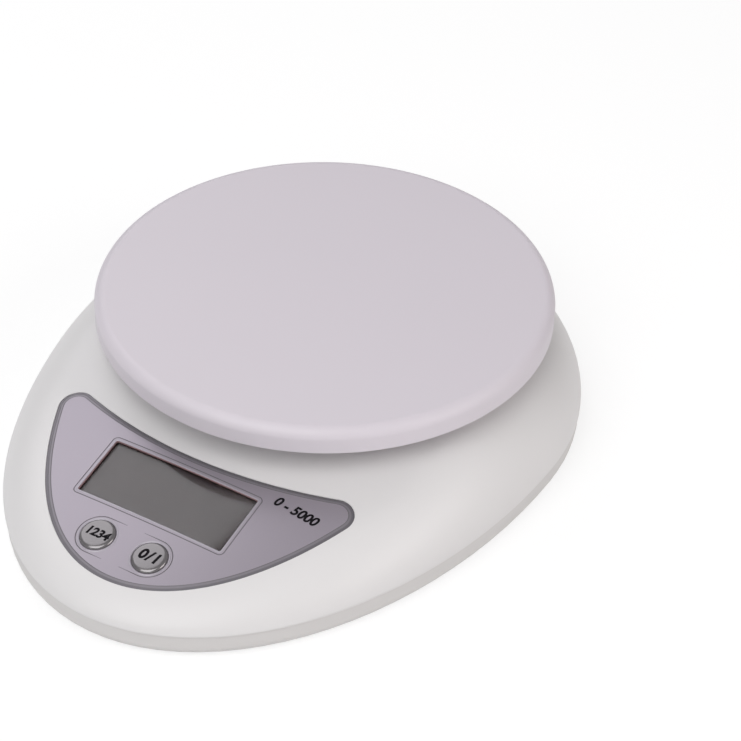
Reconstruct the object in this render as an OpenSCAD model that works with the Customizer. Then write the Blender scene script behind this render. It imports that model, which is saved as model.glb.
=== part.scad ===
// Digital kitchen scale: a low egg-shaped housing with a round weighing
// platform, a sloping front panel with a display and two buttons, a bending
// beam load cell under the platform and two AA cells under a hinged door.
// Millimetres. Z = 0 is the table, X is left to right, the nose points to -Y.
// The origin is under the centre of the housing's outline.

/* [Housing] */
// Full width of the housing
body_width = 172.8; // [160:0.2:190]
// From the platform's centre to the tail
tail_reach = 85.2; // [83:0.1:95]
// Height of the line where the upper and lower housing meet
parting_height = 9; // [8.6:0.1:11]
// Rise of the dome above the parting line, at its crown
crown_rise = 27; // [25:0.5:28]
// How far the dome falls from its crown to its shoulder
crown_fall = 6.2; // [4:0.1:8]
// Width of the rounded shoulder along the sides
shoulder_side = 24; // [18:0.5:28]
// Width of the rounded shoulder at the nose
shoulder_nose = 9.5; // [8:0.5:12]
// Wall of both housings
wall = 2; // [1.6:0.1:2.4]
// Step by which the lower housing stands back from the upper one
parting_step = 0.4; // [0.2:0.1:0.8]
// Radius of the lower housing's bottom edge
bottom_round = 3; // [2:0.5:5]
// Thickness of the lower housing's floor
floor_wall = 2.2; // [2:0.1:2.6]
// Height of the locating lip inside the parting line
lip_height = 1.5; // [1:0.1:2]

/* [Platform] */
// Radius of the weighing platform
platform_radius = 75; // [70:0.5:79]
// Thickness of the platform's top
platform_wall = 2.5; // [2:0.1:2.8]
// Radius of the platform's upper edge
platform_round = 3.6; // [3:0.1:4.5]
// Straight height of the platform's rim below that edge
platform_band = 4.8; // [3:0.1:5.2]
// Thickness of the platform's rim
rim_wall = 2.4; // [2:0.1:3]
// Downward travel of the platform at full load
platform_travel = 0.5; // [0.2:0.1:0.6]
// Length of the posts between the carrier and the platform
post_length = 4.5; // [3.5:0.1:6]
// Radius of the circle on which the platform's posts stand
post_circle = 50.4; // [44:0.1:54]
// Angle of the first post, from +X
post_angle = -69; // [-80:1:-55]
// Radius of each post
post_radius = 4; // [3.5:0.1:5]

/* [Carrier and load cell] */
// From the circle of posts out to the carrier plate's edge
carrier_margin = 6.6; // [5:0.1:9]
// Thickness of the carrier plate
carrier_plate = 2.6; // [2:0.1:2.8]
// Air between the dome's crown and the carrier plate
carrier_gap = 2.4; // [1.8:0.1:3]
// Length of the load cell
cell_length = 75; // [70:1:80]
// Width and height of the load cell
cell_side = 12.7; // [12:0.1:13]
// Distance from the end of the load cell to its first hole
cell_hole_inset = 5; // [4.5:0.5:6]
// Spacing of the two holes at each end of the load cell
cell_hole_pitch = 12; // [10:0.5:13]
// Distance of the load cell behind the platform's centre
cell_offset = 0; // [-4:0.5:4]
// Height of the pad under the load cell's fixed end, above the table
cell_pad_height = 6.5; // [6:0.1:7]
// Thickness of the spacer plates above and below the load cell
cell_spacer = 1.6; // [1:0.1:2]
// Air left between the overload stop and the load cell at full load
stop_margin = 0.4; // [0.2:0.1:0.6]
// Radius of the load cell's screws
cell_screw_radius = 2; // [1.8:0.1:2.2]
// Depth to which the load cell's screws reach into it
thread_depth = 8; // [6:0.5:9]
// Radius of the two crossing bores that leave the load cell's thin webs
web_bore_radius = 4.2; // [4:0.1:4.5]
// From the middle of the load cell to each of those bores
web_bore_offset = 6; // [5:0.5:8]
// Length of the seals over the strain gauges
seal_length = 22; // [18:0.5:24]
// Thickness of those seals
seal_thickness = 1.2; // [0.8:0.1:1.4]

/* [Front panel] */
// Height of the panel's plane above the table at the nose
panel_nose_height = 14.2; // [13.8:0.1:15]
// Slope of the panel, in degrees
panel_tilt = 12; // [10:0.5:13]
// Margin between the nose and the panel
panel_margin_nose = 9.7; // [9:0.1:12]
// Margin between the housing's sides and the panel's front curve
panel_margin_side = 18.8; // [16:0.1:22]
// How far the panel's rear edge is tucked under the platform's rim
panel_tuck = 1; // [-1:0.1:3]
// Radius of the panel's rear edge
panel_rear_radius = 151; // [130:1:300]
// Radius of the panel's two tips
panel_tip_radius = 6; // [3:0.5:8]
// Thickness of the panel
panel_thickness = 0.8; // [0.5:0.1:1]
// How far the panel stands proud of its recess
panel_proud = 0.1; // [0:0.05:0.2]
// Width of the display window
window_width = 52.7; // [48:0.1:56]
// Height of the display window, along the slope
window_height = 21.3; // [18:0.1:22]
// From the window up the slope to the panel's rear edge
window_margin = 5.6; // [5:0.1:8]
// Sideways shift of the window and its display from the middle
window_shift = -1; // [-1.1:0.1:1.1]
// Shift of the window and its display up the slope
window_rise = 0.7; // [-0.5:0.1:0.9]
// Radius of the window's corners
window_corner = 0.6; // [0.3:0.1:1.5]

/* [Buttons] */
// Radius of the button caps
button_radius = 5.6; // [5:0.1:6]
// Distance between the two buttons
button_pitch = 19.1; // [18:0.1:21]
// Sideways shift of the pair of buttons from the middle
button_shift = -1.5; // [-3:0.1:3]
// From the window down the slope to the nearest edge of a button
button_gap = 5.55; // [5.2:0.05:7]
// From the buttons down the slope to the panel's front edge
button_margin = 7.05; // [6:0.05:9]
// Height of a button cap above the panel
button_proud = 0.9; // [0.5:0.1:1.5]
// Travel of a button
button_travel = 0.4; // [0.2:0.05:0.5]
// Width of the flange that keeps a button in the housing
button_flange = 1.2; // [0.8:0.1:1.3]
// Side of a switch's square body
switch_side = 6; // [5:0.1:7]

/* [Display and board] */
// Depth of the display glass below the panel's face
display_depth = 3; // [3:0.1:3.3]
// How far the display glass reaches past the window on either side
display_side = 3.65; // [3:0.05:5]
// How far the display glass reaches past the window above and below
display_end = 2.55; // [2.2:0.05:2.8]
// Thickness of the display glass
display_thickness = 2.2; // [1.8:0.1:2.4]
// Height of the elastomer contact strip
strip_height = 2; // [1.6:0.1:2.4]
// From a board screw out to the side edge of the circuit board
board_margin = 3; // [2.5:0.1:4]
// Width of the narrow front part of the circuit board
board_nose_width = 42; // [40:0.5:46]
// Thickness of the circuit board
board_thickness = 1.6; // [1.2:0.1:2]
// Radius of the sealed drop of resin over the controller
controller_radius = 6; // [5:0.1:6.5]
// Length of the converter chip
converter_length = 9.8; // [8:0.1:11]
// Width of the converter chip
converter_width = 6; // [4:0.1:7]
// Length of the crystal's can
crystal_length = 8; // [6:0.1:10]
// Width of the crystal's can
crystal_width = 3.2; // [2:0.1:4]
// Radius of a capacitor
capacitor_radius = 2.2; // [1.8:0.1:2.4]
// Height of the tallest chip under the board
chip_height = 3; // [2:0.1:3.4]

/* [Battery bay] */
// Length of a compressed battery spring
spring_length = 6.7; // [5:0.1:9]
// Air between the two cells
cell_gap = 1.4; // [1:0.1:2]
// Radius of an AA cell
aa_radius = 7.1; // [6.9:0.05:7.2]
// Length of an AA cell over its nub
aa_length = 50.5; // [50:0.1:50.5]
// From the platform's centre back to the bay's front wall
bay_reach = 21.5; // [20:0.5:23]
// Thickness of the battery door
door_thickness = 1.6; // [1.4:0.1:1.7]

/* [Feet and screws] */
// From the housing's side in to the front feet
front_foot_inset = 44.4; // [40:0.1:50]
// From the nose back to the front feet
front_foot_setback = 49.3; // [44:0.1:55]
// From the housing's side in to the rear feet
rear_foot_inset = 26.4; // [24:0.1:32]
// From the tail forward to the rear feet
rear_foot_setback = 55.2; // [50:0.1:60]
// From the housing's side in to the front screws
front_screw_inset = 50.4; // [48:0.1:54]
// From the nose back to the front screws
front_screw_setback = 25.3; // [24:0.1:30]
// From the housing's side in to the side screws
side_screw_inset = 15.4; // [13:0.1:18]
// From the platform's centre forward to the side screws
side_screw_forward = 22; // [15:0.5:30]
// From the housing's side in to the rear screws
rear_screw_inset = 38.4; // [34:0.1:42]
// From the tail forward to the rear screws
rear_screw_setback = 31.2; // [26:0.1:36]
// Height by which the rubber feet lift the housing
foot_proud = 1; // [0.8:0.1:1.5]
// Radius of a foot
foot_radius = 6.5; // [5:0.1:8]
// Width of the bevel round a foot's lower edge
foot_chamfer = 0.45; // [0.3:0.05:0.7]
// Radius of a housing screw's thread
screw_radius = 1.3; // [1.2:0.05:1.5]
// Radius of a housing screw's head
screw_head_radius = 2.6; // [2.4:0.1:3]
// Height of a screw's head
screw_head_height = 1.8; // [1.4:0.1:2]
// Depth to which a housing screw reaches into the upper housing
screw_reach = 6; // [5:0.5:7]
// Radius of the bosses that the housing screws bite into
boss_radius = 3.6; // [3:0.1:4.5]

/* [Hidden] */

$fn = 48;
eps = 0.01;
// Cutting shapes stand past what they cut by this much, or by far more
cut = 1;
through = 40;
// Running clearances, and the play of loosely fitted pieces
running_gap = 0.05;
play = 0.2;
// Thickness of the adhesive film under the panel and the window pane
film = 0.05;

half_width = body_width / 2;
button_drop = window_height / 2 + button_gap + button_radius;
panel_front = button_drop + button_radius + button_margin;
panel_rear = window_height / 2 + window_margin;
window_reach = platform_radius - panel_tuck + panel_rear * cos(panel_tilt);
nose_reach = window_reach + panel_front * cos(panel_tilt) + panel_margin_nose;
centre_y = (nose_reach - tail_reach) / 2;
floor_z = foot_proud;
floor_top = floor_z + floor_wall;
lower_inset = parting_step;
lip_inset = wall + parting_step + play;
lip_wall = 1;
lip_root_z = parting_height - 3;

// Outline: two half ellipses that meet at the housing's widest place, which
// lies under the platform's centre. The angle t starts at +X and runs
// anticlockwise, so that t = 270 is the nose.
outline_steps = 96;
outline_angles = [for (i = [0:outline_steps - 1]) 360 * i / outline_steps];
function reach(t) = sin(t) < 0 ? nose_reach : tail_reach;
function egg(t) = [half_width * cos(t), reach(t) * sin(t)];
function egg_normal(t) =
    let (n = [cos(t) / half_width, sin(t) / reach(t)]) n / norm(n);
function egg_inset(inset) =
    [for (t = outline_angles) egg(t) - inset * egg_normal(t)];

// The dome: a spine that is level over the middle, slopes down in front and
// falls gently at the tail. The dome falls away to both sides of the spine and
// is rolled off to the parting line over a shoulder.
plane_blend = 3;
shoulder_steps = 7;
inner_shares = [0.86, 0.68, 0.48, 0.26];
function plane_z(y) = panel_nose_height + tan(panel_tilt) * (y + nose_reach);
function spine_z(y) = crown_rise - crown_fall * (y > 0 ? pow(y / tail_reach, 2) : 0);
function soft_min(a, b, w) =
    min(a, b) - w / 4 * pow(max(0, 1 - abs(a - b) / w), 2);
function cap_z(p) = soft_min(spine_z(p[1]), plane_z(p[1]) - parting_height, plane_blend)
    - crown_fall * pow(p[0] / half_width, 2);
function shoulder(t) = shoulder_side
    - (shoulder_side - shoulder_nose) * pow(max(0, -sin(t)), 2);
function shoulder_share(t) = 1 - shoulder(t) / norm(egg(t));
function dome_point(t, share, inset, drop) =
    let (start = shoulder_share(t),
         p = egg(t) * share,
         u = max(0, (share - start) / (1 - start)),
         z = cap_z(p) * sqrt(max(0, 1 - u * u)),
         q = p * (1 - inset / norm(egg(t))))
    [q[0], q[1], parting_height + z - drop * (1 - pow(share, 6))];
function shoulder_shares(t) =
    let (start = shoulder_share(t))
    [for (k = [0:shoulder_steps]) start + (1 - start) * cos(90 * k / shoulder_steps)];
function dome_shares(t) = concat(shoulder_shares(t),
    [for (s = inner_shares) s * shoulder_share(t)]);
ring_count = shoulder_steps + 1 + len(inner_shares);
function dome_points(inset, drop) = concat(
    [for (k = [0:ring_count - 1]) for (t = outline_angles)
        dome_point(t, dome_shares(t)[k], inset, drop)],
    [[0, 0, parting_height + cap_z([0, 0]) - drop]]);

// Triangles between two rings of n points that start at index a and b, seen
// from outside when b lies above a, and from inside when flip is true.
function ring_faces(a, b, n, flip = false) = [for (j = [0:n - 1])
    let (k = (j + 1) % n)
    each flip ? [[a + j, b + k, b + j], [a + j, a + k, b + k]]
              : [[a + j, b + j, b + k], [a + j, b + k, a + k]]];
function pole_faces(a, pole, n, flip = false) = [for (j = [0:n - 1])
    let (k = (j + 1) % n) flip ? [a + j, a + k, pole] : [a + j, pole, a + k]];
function dome_faces(first, flip) = let (n = outline_steps) concat(
    [for (k = [0:ring_count - 2])
        each ring_faces(first + k * n, first + (k + 1) * n, n, flip)],
    pole_faces(first + (ring_count - 1) * n, first + ring_count * n, n, flip));

module at_platform() {
    translate([0, centre_y, 0]) children();
}

// The upper housing's bare shell: outer dome, inner dome and the rim between
module dome_shell() {
    n = outline_steps;
    inner = ring_count * n + 1;
    polyhedron(
        points = concat(dome_points(0, 0), dome_points(wall, wall)),
        faces = concat(dome_faces(0, false), dome_faces(inner, true),
            ring_faces(0, inner, n, true)),
        convexity = 6);
}

// A solid up to the middle of the shell's wall, which trims bosses to the dome
module dome_core() {
    n = outline_steps;
    polyhedron(
        points = dome_points(wall / 2, wall / 2),
        faces = concat(dome_faces(0, false), [[for (j = [0:n - 1]) j]]),
        convexity = 4);
}

// The lower housing's outside as one solid
turn_steps = 5;
module tray_solid() {
    n = outline_steps;
    levels = concat([[lower_inset, parting_height]],
        [for (k = [0:turn_steps]) let (q = 90 * k / turn_steps)
            [lower_inset + bottom_round * (1 - cos(q)),
             floor_z + bottom_round * (1 - sin(q))]]);
    last = len(levels) - 1;
    polyhedron(
        points = [for (l = levels) for (p = egg_inset(l[0])) [p[0], p[1], l[1]]],
        faces = concat(
            [for (k = [0:last - 1]) each ring_faces(k * n, (k + 1) * n, n, true)],
            [[for (j = [0:n - 1]) last * n + j], [for (j = [n - 1:-1:0]) j]]),
        convexity = 4);
}

module egg_prism(inset, low, high) {
    translate([0, 0, low]) linear_extrude(high - low) polygon(egg_inset(inset));
}

// The panel's frame: X across, Y up the slope, Z out of its face. The window
// lies at its origin, apart from its two small shifts.
window_z = plane_z(-window_reach);
function panel_point(u, v, w) = [u,
    -window_reach + v * cos(panel_tilt) - w * sin(panel_tilt),
    window_z + v * sin(panel_tilt) + w * cos(panel_tilt)];
module at_panel() {
    at_platform() translate([0, -window_reach, window_z])
        rotate([panel_tilt, 0, 0]) children();
}
button_x = [button_shift - button_pitch / 2, button_shift + button_pitch / 2];
panel_floor = panel_proud - panel_thickness;

// The panel, its pane and their seats bend round cylinders that run up the
// slope and have the dome's own sideways fall.
bend_radius = half_width * half_width / (2 * crown_fall * cos(panel_tilt));
bend_length = 2 * nose_reach;
function bend_drop(u) = u * u / (2 * bend_radius);
module bend_core(w) {
    translate([0, 0, -bend_radius]) rotate([90, 0, 0])
        cylinder(r = bend_radius + w, h = bend_length, center = true, $fn = 1440);
}
module panel_outline(gap = 0) {
    front_steps = 60;
    half = half_width - panel_margin_side;
    depth = (nose_reach - panel_margin_nose) / cos(panel_tilt);
    front = [for (i = [0:front_steps]) let (t = 180 + 180 * i / front_steps)
        [half * cos(t), window_reach / cos(panel_tilt) + depth * sin(t)]];
    offset(r = panel_tip_radius - gap) offset(delta = -panel_tip_radius)
        difference() {
            polygon(front);
            translate([0, panel_rear + panel_rear_radius])
                circle(r = panel_rear_radius, $fn = 240);
        }
}
module at_window(w = 0) {
    translate([window_shift, window_rise, w]) children();
}
module rounded_box(width, depth, height, r) {
    linear_extrude(height) {
        square([width - 2 * r, depth], center = true);
        square([width, depth - 2 * r], center = true);
        for (x = [-1, 1], y = [-1, 1])
            translate([x * (width / 2 - r), y * (depth / 2 - r)]) circle(r = r);
    }
}
module stadium(length, width, height) {
    linear_extrude(height) {
        square([length - width, width], center = true);
        for (x = [-1, 1]) translate([x * (length - width) / 2, 0]) circle(r = width / 2);
    }
}

// Screws of the housing, three pairs from nose to tail
screw_pairs = [
    [half_width - front_screw_inset, front_screw_setback - nose_reach],
    [half_width - side_screw_inset, -side_screw_forward],
    [half_width - rear_screw_inset, tail_reach - rear_screw_setback]];
screw_places = [for (p = screw_pairs) for (s = [-1, 1]) [s * p[0], p[1]]];
screw_sink = 3.2;
// Length by which a screw hole runs on past its screw's end
hole_spare = 1;
screw_cross = 0.8;
// Height inside the floor at which everything that stands on it begins
root_z = floor_z + 1;
lower_boss_radius = boss_radius + 1;
foot_pairs = [
    [half_width - front_foot_inset, front_foot_setback - nose_reach],
    [half_width - rear_foot_inset, tail_reach - rear_foot_setback]];
foot_places = [for (p = foot_pairs) for (s = [-1, 1]) [s * p[0], p[1]]];
foot_recess = 0.8;
foot_gap = 0.15;

// Load cell: along X, fixed at its left end and free at its right end
cell_z = cell_pad_height + cell_spacer;
cell_top = cell_z + cell_side;
cell_end = cell_length / 2;
cell_holes = [cell_end - cell_hole_inset, cell_end - cell_hole_inset - cell_hole_pitch];
cell_mid_x = (cell_holes[0] + cell_holes[1]) / 2;
cell_head_radius = 3.5;
cell_head_height = 2.6;
cell_head_sink = cell_head_height + play;
pad_length = cell_hole_pitch + 2 * cell_hole_inset;
pad_margin = 1.5;
stop_gap = platform_travel + stop_margin;
pad_corner = 2;
stop_boss_radius = 4.5;
stop_proud = 1;
spacer_corner = 1;
web_slot = 3;
seal_margin = 1;
seal_corner = 2;

// Carrier: a round plate over the dome with a column down to the load cell
carrier_radius = post_circle + carrier_margin;
carrier_z = parting_height + crown_rise + carrier_gap;
carrier_top = carrier_z + carrier_plate;
column_base = cell_top + cell_spacer;
column_floor = 4;
column_wall = 2;
column_length = pad_length + 2 * column_wall;
column_width = cell_side + column_wall;
opening_gap = 2;
collar_wall = 2;
carrier_seat = 1;
rib_wall = 2;
rib_ring_radius = 13;
rib_height = post_length - 1;
rib_end_gap = 0.5;
post_places = [for (i = [0:3]) post_circle
    * [cos(post_angle + 90 * i), sin(post_angle + 90 * i)]];
platform_under = carrier_top + post_length;
platform_height = platform_under + platform_wall;
rim_bottom = platform_height - platform_round - platform_band;
inner_round = platform_round - 1;

// Board stack, measured down from the panel's face
display_top = -display_depth;
display_base = display_top - display_thickness;
board_top = display_base - strip_height;
board_base = board_top - board_thickness;
pane_thickness = 0.8;
pane_margin = 2.2;
pane_corner = 2;
pane_seat = panel_floor - film - pane_thickness;
opening_margin = 1;
cap_hole_radius = button_radius + play;
panel_hole_radius = cap_hole_radius + play / 2;
cap_edge = 0.9;
flange_radius = button_radius + button_flange;
flange_thickness = 0.7;
button_reach = abs(button_shift) + button_pitch / 2;
flange_top = -wall - play - bend_drop(button_reach + flange_radius);
flange_base = flange_top - flange_thickness;
plunger_radius = 1.7;
plunger_depth = 1.2;
plunger_rise = 0.45;
plunger_room = 0.3;
switch_top = flange_base - button_travel - plunger_rise;
display_width = window_width + 2 * display_side;
display_height = window_height + 2 * display_end;
board_rear_v = display_height / 2 + 3;
board_step_v = -display_height / 2 - 1.5;
board_chamfer = 4;
board_screw_bite = 3;
board_head_radius = 2.2;
board_head_height = 1.2;
strip_inset = 3;
chip_places = [[-6, 2], [8, -3], [-22, -7]];
capacitor_places = [[24, -8], [24, 7]];
board_front_v = -button_drop - flange_radius + 0.4;
board_screw_v = [board_rear_v - 2.8, board_step_v + 3];
board_boss_radius = 2.4;
board_thread_radius = 1;
frame_wall = 1.2;
frame_ledge = 1;
ledge_step = 3.5;
board_screw_u = display_width / 2 + play / 2 + frame_wall + board_boss_radius + 1.3;
board_width = 2 * (board_screw_u + board_margin);
frame_reach = display_width / 2 + play / 2 + frame_wall + abs(window_shift);
frame_top = -wall - play - bend_drop(frame_reach);
post_top = -wall / 2 - bend_drop(board_screw_u);

// Battery bay, which opens in the floor and is closed by the door
bay_wall = 1.6;
bay_air = 0.8;
bay_floor_air = 1.2;
plate_thickness = 0.4;
bay_length = aa_length + spring_length + 2 * plate_thickness;
cell_pitch = 2 * aa_radius + cell_gap;
bay_width = cell_pitch + 2 * aa_radius + 1;
bay_mid_y = bay_reach + bay_width / 2;
aa_z = floor_z + door_thickness + bay_floor_air + aa_radius;
bay_top = aa_z + aa_radius + bay_air;
aa_rows = [[bay_mid_y - cell_pitch / 2, 1], [bay_mid_y + cell_pitch / 2, -1]];
nub_radius = 2.6;
nub_length = 1;
door_ledge = 1.4;
door_seat = door_thickness + 0.2;
door_length = bay_length + 2 * door_ledge;
door_width = bay_width + 2 * door_ledge;
ledge_top = floor_z + door_seat + door_ledge;
hook_gap = 0.6;
hook_x = 18;
hook_width = 6;
hook_rise = 1.3;
hook_wall = 1.3;
latch_width = 12;
latch_depth = 9;
latch_wall = 1.2;
latch_reach = 0.8;
rim_width = 2;
slot_height = hook_gap + hook_rise + 1;
contact_side = 12;
tail_width = 3;
tail_reach_out = 3;
tail_z = aa_z + 4;
door_low_y = bay_reach - door_ledge + play;
door_high_y = bay_reach + bay_width + door_ledge - play;
// Finger grooves in the door's outside, beside its tongue
groove_count = 4;
groove_length = 18;
groove_width = 1;
groove_depth = 0.4;
groove_pitch = 2.4;
groove_margin = 5;

module screw_bosses() {
    for (p = screw_places) translate([p[0], p[1], parting_height])
        cylinder(r = boss_radius, h = crown_rise);
}

module upper_housing() {
    color("white") difference() {
        union() {
            at_platform() dome_shell();
            at_platform() intersection() {
                dome_core();
                union() {
                    screw_bosses();
                    // Collar round the opening for the carrier's column
                    translate([cell_mid_x, cell_offset, column_base])
                        stadium(column_length + 2 * (opening_gap + collar_wall),
                            column_width + 2 * (opening_gap + collar_wall), crown_rise);
                }
            }
            // Posts that the circuit board hangs from
            at_panel() for (v = board_screw_v, s = [-1, 1])
                translate([s * board_screw_u, v, board_top])
                    cylinder(r = board_boss_radius, h = post_top - board_top);
        }
        at_panel() {
            difference() {
                translate([0, 0, -through]) linear_extrude(2 * through) panel_outline();
                bend_core(panel_floor - film);
            }
            difference() {
                at_window(-through)
                    rounded_box(window_width + 2 * pane_margin + play,
                        window_height + 2 * pane_margin + play, 2 * through, pane_corner);
                bend_core(pane_seat - film);
            }
            at_window(board_top)
                rounded_box(window_width + 2 * opening_margin,
                    window_height + 2 * opening_margin, through, opening_margin);
            for (x = button_x) translate([x, -button_drop, board_top])
                cylinder(r = cap_hole_radius, h = through);
            for (v = board_screw_v, s = [-1, 1])
                translate([s * board_screw_u, v, board_top - cut])
                    cylinder(r = board_thread_radius, h = cut + board_screw_bite + 2 * play);
        }
        at_platform() {
            translate([cell_mid_x, cell_offset, column_base - cut])
                stadium(column_length + 2 * opening_gap,
                    column_width + 2 * opening_gap, crown_rise);
            for (p = screw_places) translate([p[0], p[1], parting_height - cut])
                cylinder(r = screw_radius, h = screw_reach + cut);
        }
    }
}

module tray_openings() {
    // Door recess, bay opening and the slots for the door's hooks and latch
    translate([0, bay_mid_y, floor_z - cut]) {
        translate([-door_length / 2, -door_width / 2, 0])
            cube([door_length, door_width, door_seat + cut]);
        translate([-bay_length / 2, -bay_width / 2, 0])
            cube([bay_length, bay_width, bay_top - floor_z + cut]);
    }
    for (s = [-1, 1])
        translate([s * hook_x - hook_width / 2 - play, bay_reach - bay_wall - cut, ledge_top])
            cube([hook_width + 2 * play, bay_wall + 2 * cut, slot_height]);
    translate([-latch_width / 2 - play, bay_reach + bay_width - cut, ledge_top])
        cube([latch_width + 2 * play, bay_wall + 2 * cut, slot_height]);
    // Slots for the solder tails
    for (r = aa_rows)
        translate([bay_length / 2 - cut, r[0] - tail_width / 2 - play, tail_z - play])
            cube([bay_wall + 2 * cut, tail_width + 2 * play, plate_thickness + 2 * play]);
    for (p = foot_places) translate([p[0], p[1], floor_z - cut])
        cylinder(r = foot_radius, h = foot_recess + cut);
    for (p = screw_places) translate([p[0], p[1], floor_z - cut]) {
        cylinder(r = screw_head_radius + play, h = screw_sink + cut);
        cylinder(r = screw_radius + play, h = through);
    }
    for (x = cell_holes) translate([-x, cell_offset, floor_z - cut]) {
        cylinder(r = cell_head_radius + play, h = cell_head_sink + cut);
        cylinder(r = cell_screw_radius, h = cell_pad_height);
    }
    translate([cell_mid_x, cell_offset, root_z]) cylinder(r = cell_screw_radius, h = cell_z);
}

module lower_housing() {
    color("whitesmoke") at_platform() difference() {
        union() {
            difference() {
                tray_solid();
                egg_prism(lower_inset + wall, floor_top, parting_height + cut);
            }
            // Locating lip, rooted in the wall below the parting line
            difference() {
                union() {
                    egg_prism(lip_inset, lip_root_z, parting_height + lip_height);
                    egg_prism(lower_inset + wall / 2, lip_root_z, parting_height);
                }
                egg_prism(lip_inset + lip_wall, lip_root_z - cut, parting_height + through);
            }
            for (p = screw_places) translate([p[0], p[1], root_z])
                cylinder(r = lower_boss_radius, h = parting_height - root_z);
            // Pad under the fixed end, and the boss of the overload stop
            translate([-cell_mid_x, cell_offset, root_z])
                rounded_box(pad_length, cell_side + 2 * pad_margin,
                    cell_pad_height - root_z, pad_corner);
            translate([cell_mid_x, cell_offset, root_z])
                cylinder(r = stop_boss_radius, h = cell_z - stop_gap - stop_proud - root_z);
            // Battery bay and the thick rim that carries the door's ledge
            translate([0, bay_mid_y, root_z]) {
                translate([-bay_length / 2 - bay_wall, -bay_width / 2 - bay_wall, 0])
                    cube([bay_length + 2 * bay_wall, bay_width + 2 * bay_wall,
                        bay_top + bay_wall - root_z]);
                translate([-door_length / 2 - rim_width, -door_width / 2 - rim_width, 0])
                    cube([door_length + 2 * rim_width, door_width + 2 * rim_width,
                        ledge_top - root_z]);
            }
        }
        tray_openings();
    }
}

module rubber_feet() {
    side = foot_radius - foot_gap;
    color("dimgray") at_platform() for (p = foot_places) translate([p[0], p[1], 0]) {
        cylinder(r1 = side - foot_chamfer, r2 = side, h = foot_chamfer);
        translate([0, 0, foot_chamfer])
            cylinder(r = side, h = foot_proud + foot_recess - foot_chamfer);
    }
}

// A screw that points up, with its head's underside at the origin. Its thread
// is drawn a hair thinner than the hole that it cuts.
module screw(thread_radius, head_radius, head_height, length) {
    cross_length = 1.2 * head_radius;
    difference() {
        union() {
            translate([0, 0, -head_height]) cylinder(r = head_radius, h = head_height);
            translate([0, 0, -eps])
                cylinder(r = thread_radius - running_gap, h = length + eps);
        }
        for (a = [0, 90]) rotate([0, 0, a])
            translate([-cross_length / 2, -screw_cross / 2, -head_height - cut])
                cube([cross_length, screw_cross, cut + 0.6 * head_height]);
    }
}

module housing_screws() {
    color("silver") at_platform() for (p = screw_places)
        translate([p[0], p[1], floor_z + screw_sink])
            screw(screw_radius, screw_head_radius, screw_head_height,
                parting_height - floor_z - screw_sink + screw_reach - hole_spare);
}

module platform_profile() {
    r = platform_radius;
    square([r - platform_round, platform_height]);
    square([r, platform_height - platform_round]);
    translate([r - platform_round, platform_height - platform_round])
        circle(r = platform_round);
}
module platform_hollow() {
    inner = platform_radius - rim_wall;
    square([inner - inner_round, platform_under]);
    square([inner, platform_under - inner_round]);
    translate([inner - inner_round, platform_under - inner_round]) circle(r = inner_round);
    square([platform_radius + cut, rim_bottom]);
}

module weighing_platform() {
    color("white") at_platform() difference() {
        union() {
            rotate_extrude($fn = 120) difference() {
                platform_profile();
                platform_hollow();
            }
            for (p = post_places) translate([p[0], p[1], carrier_top])
                cylinder(r = post_radius, h = post_length + platform_wall / 2);
        }
        for (p = post_places) translate([p[0], p[1], carrier_top - cut])
            cylinder(r = screw_radius, h = cut + post_length - hole_spare);
    }
}

module platform_carrier() {
    color("gainsboro") at_platform() difference() {
        union() {
            translate([0, 0, carrier_z]) cylinder(r = carrier_radius, h = carrier_plate, $fn = 96);
            translate([cell_mid_x, cell_offset, column_base])
                stadium(column_length, column_width, carrier_top - column_base);
            // Stiffening ribs on the plate, and the ring that they run into
            for (i = [0:3]) rotate([0, 0, post_angle + 90 * i])
                translate([rib_ring_radius - rib_wall / 2, -rib_wall / 2, carrier_top - eps])
                    cube([post_circle - post_radius - rib_end_gap - rib_ring_radius
                        + rib_wall / 2, rib_wall, rib_height]);
            translate([0, 0, carrier_top - eps]) difference() {
                cylinder(r = rib_ring_radius, h = rib_height);
                translate([0, 0, -cut])
                    cylinder(r = rib_ring_radius - rib_wall, h = through);
            }
        }
        translate([cell_mid_x, cell_offset, column_base + column_floor])
            stadium(column_length - 2 * column_wall, column_width - 2 * column_wall, through);
        for (x = cell_holes) translate([x, cell_offset, column_base - cut])
            cylinder(r = cell_screw_radius, h = column_floor + 2 * cut);
        for (p = post_places) translate([p[0], p[1], carrier_z - cut]) {
            cylinder(r = screw_radius + play, h = carrier_plate + 2 * cut);
            cylinder(r = screw_head_radius + play, h = carrier_seat + cut);
        }
    }
}

module platform_screws() {
    color("silver") at_platform() for (p = post_places)
        translate([p[0], p[1], carrier_z + carrier_seat])
            screw(screw_radius, screw_head_radius, screw_head_height,
                carrier_plate - carrier_seat + post_length - 2 * hole_spare);
}

module carrier_screws() {
    color("silver") at_platform() for (x = cell_holes)
        translate([x, cell_offset, column_base + column_floor]) rotate([180, 0, 0])
            screw(cell_screw_radius, cell_head_radius, cell_head_height,
                column_floor + cell_spacer + thread_depth);
}

module spacer_plate(side) {
    difference() {
        translate([side * cell_mid_x, cell_offset, 0])
            rounded_box(pad_length, cell_side, cell_spacer, spacer_corner);
        for (x = cell_holes) translate([side * x, cell_offset, -cut])
            cylinder(r = cell_screw_radius, h = cell_spacer + 2 * cut);
    }
}

module top_spacer() {
    color("darkgray") at_platform() translate([0, 0, cell_top]) spacer_plate(1);
}

module base_spacer() {
    color("darkgray") at_platform() translate([0, 0, cell_pad_height]) spacer_plate(-1);
}

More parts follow.
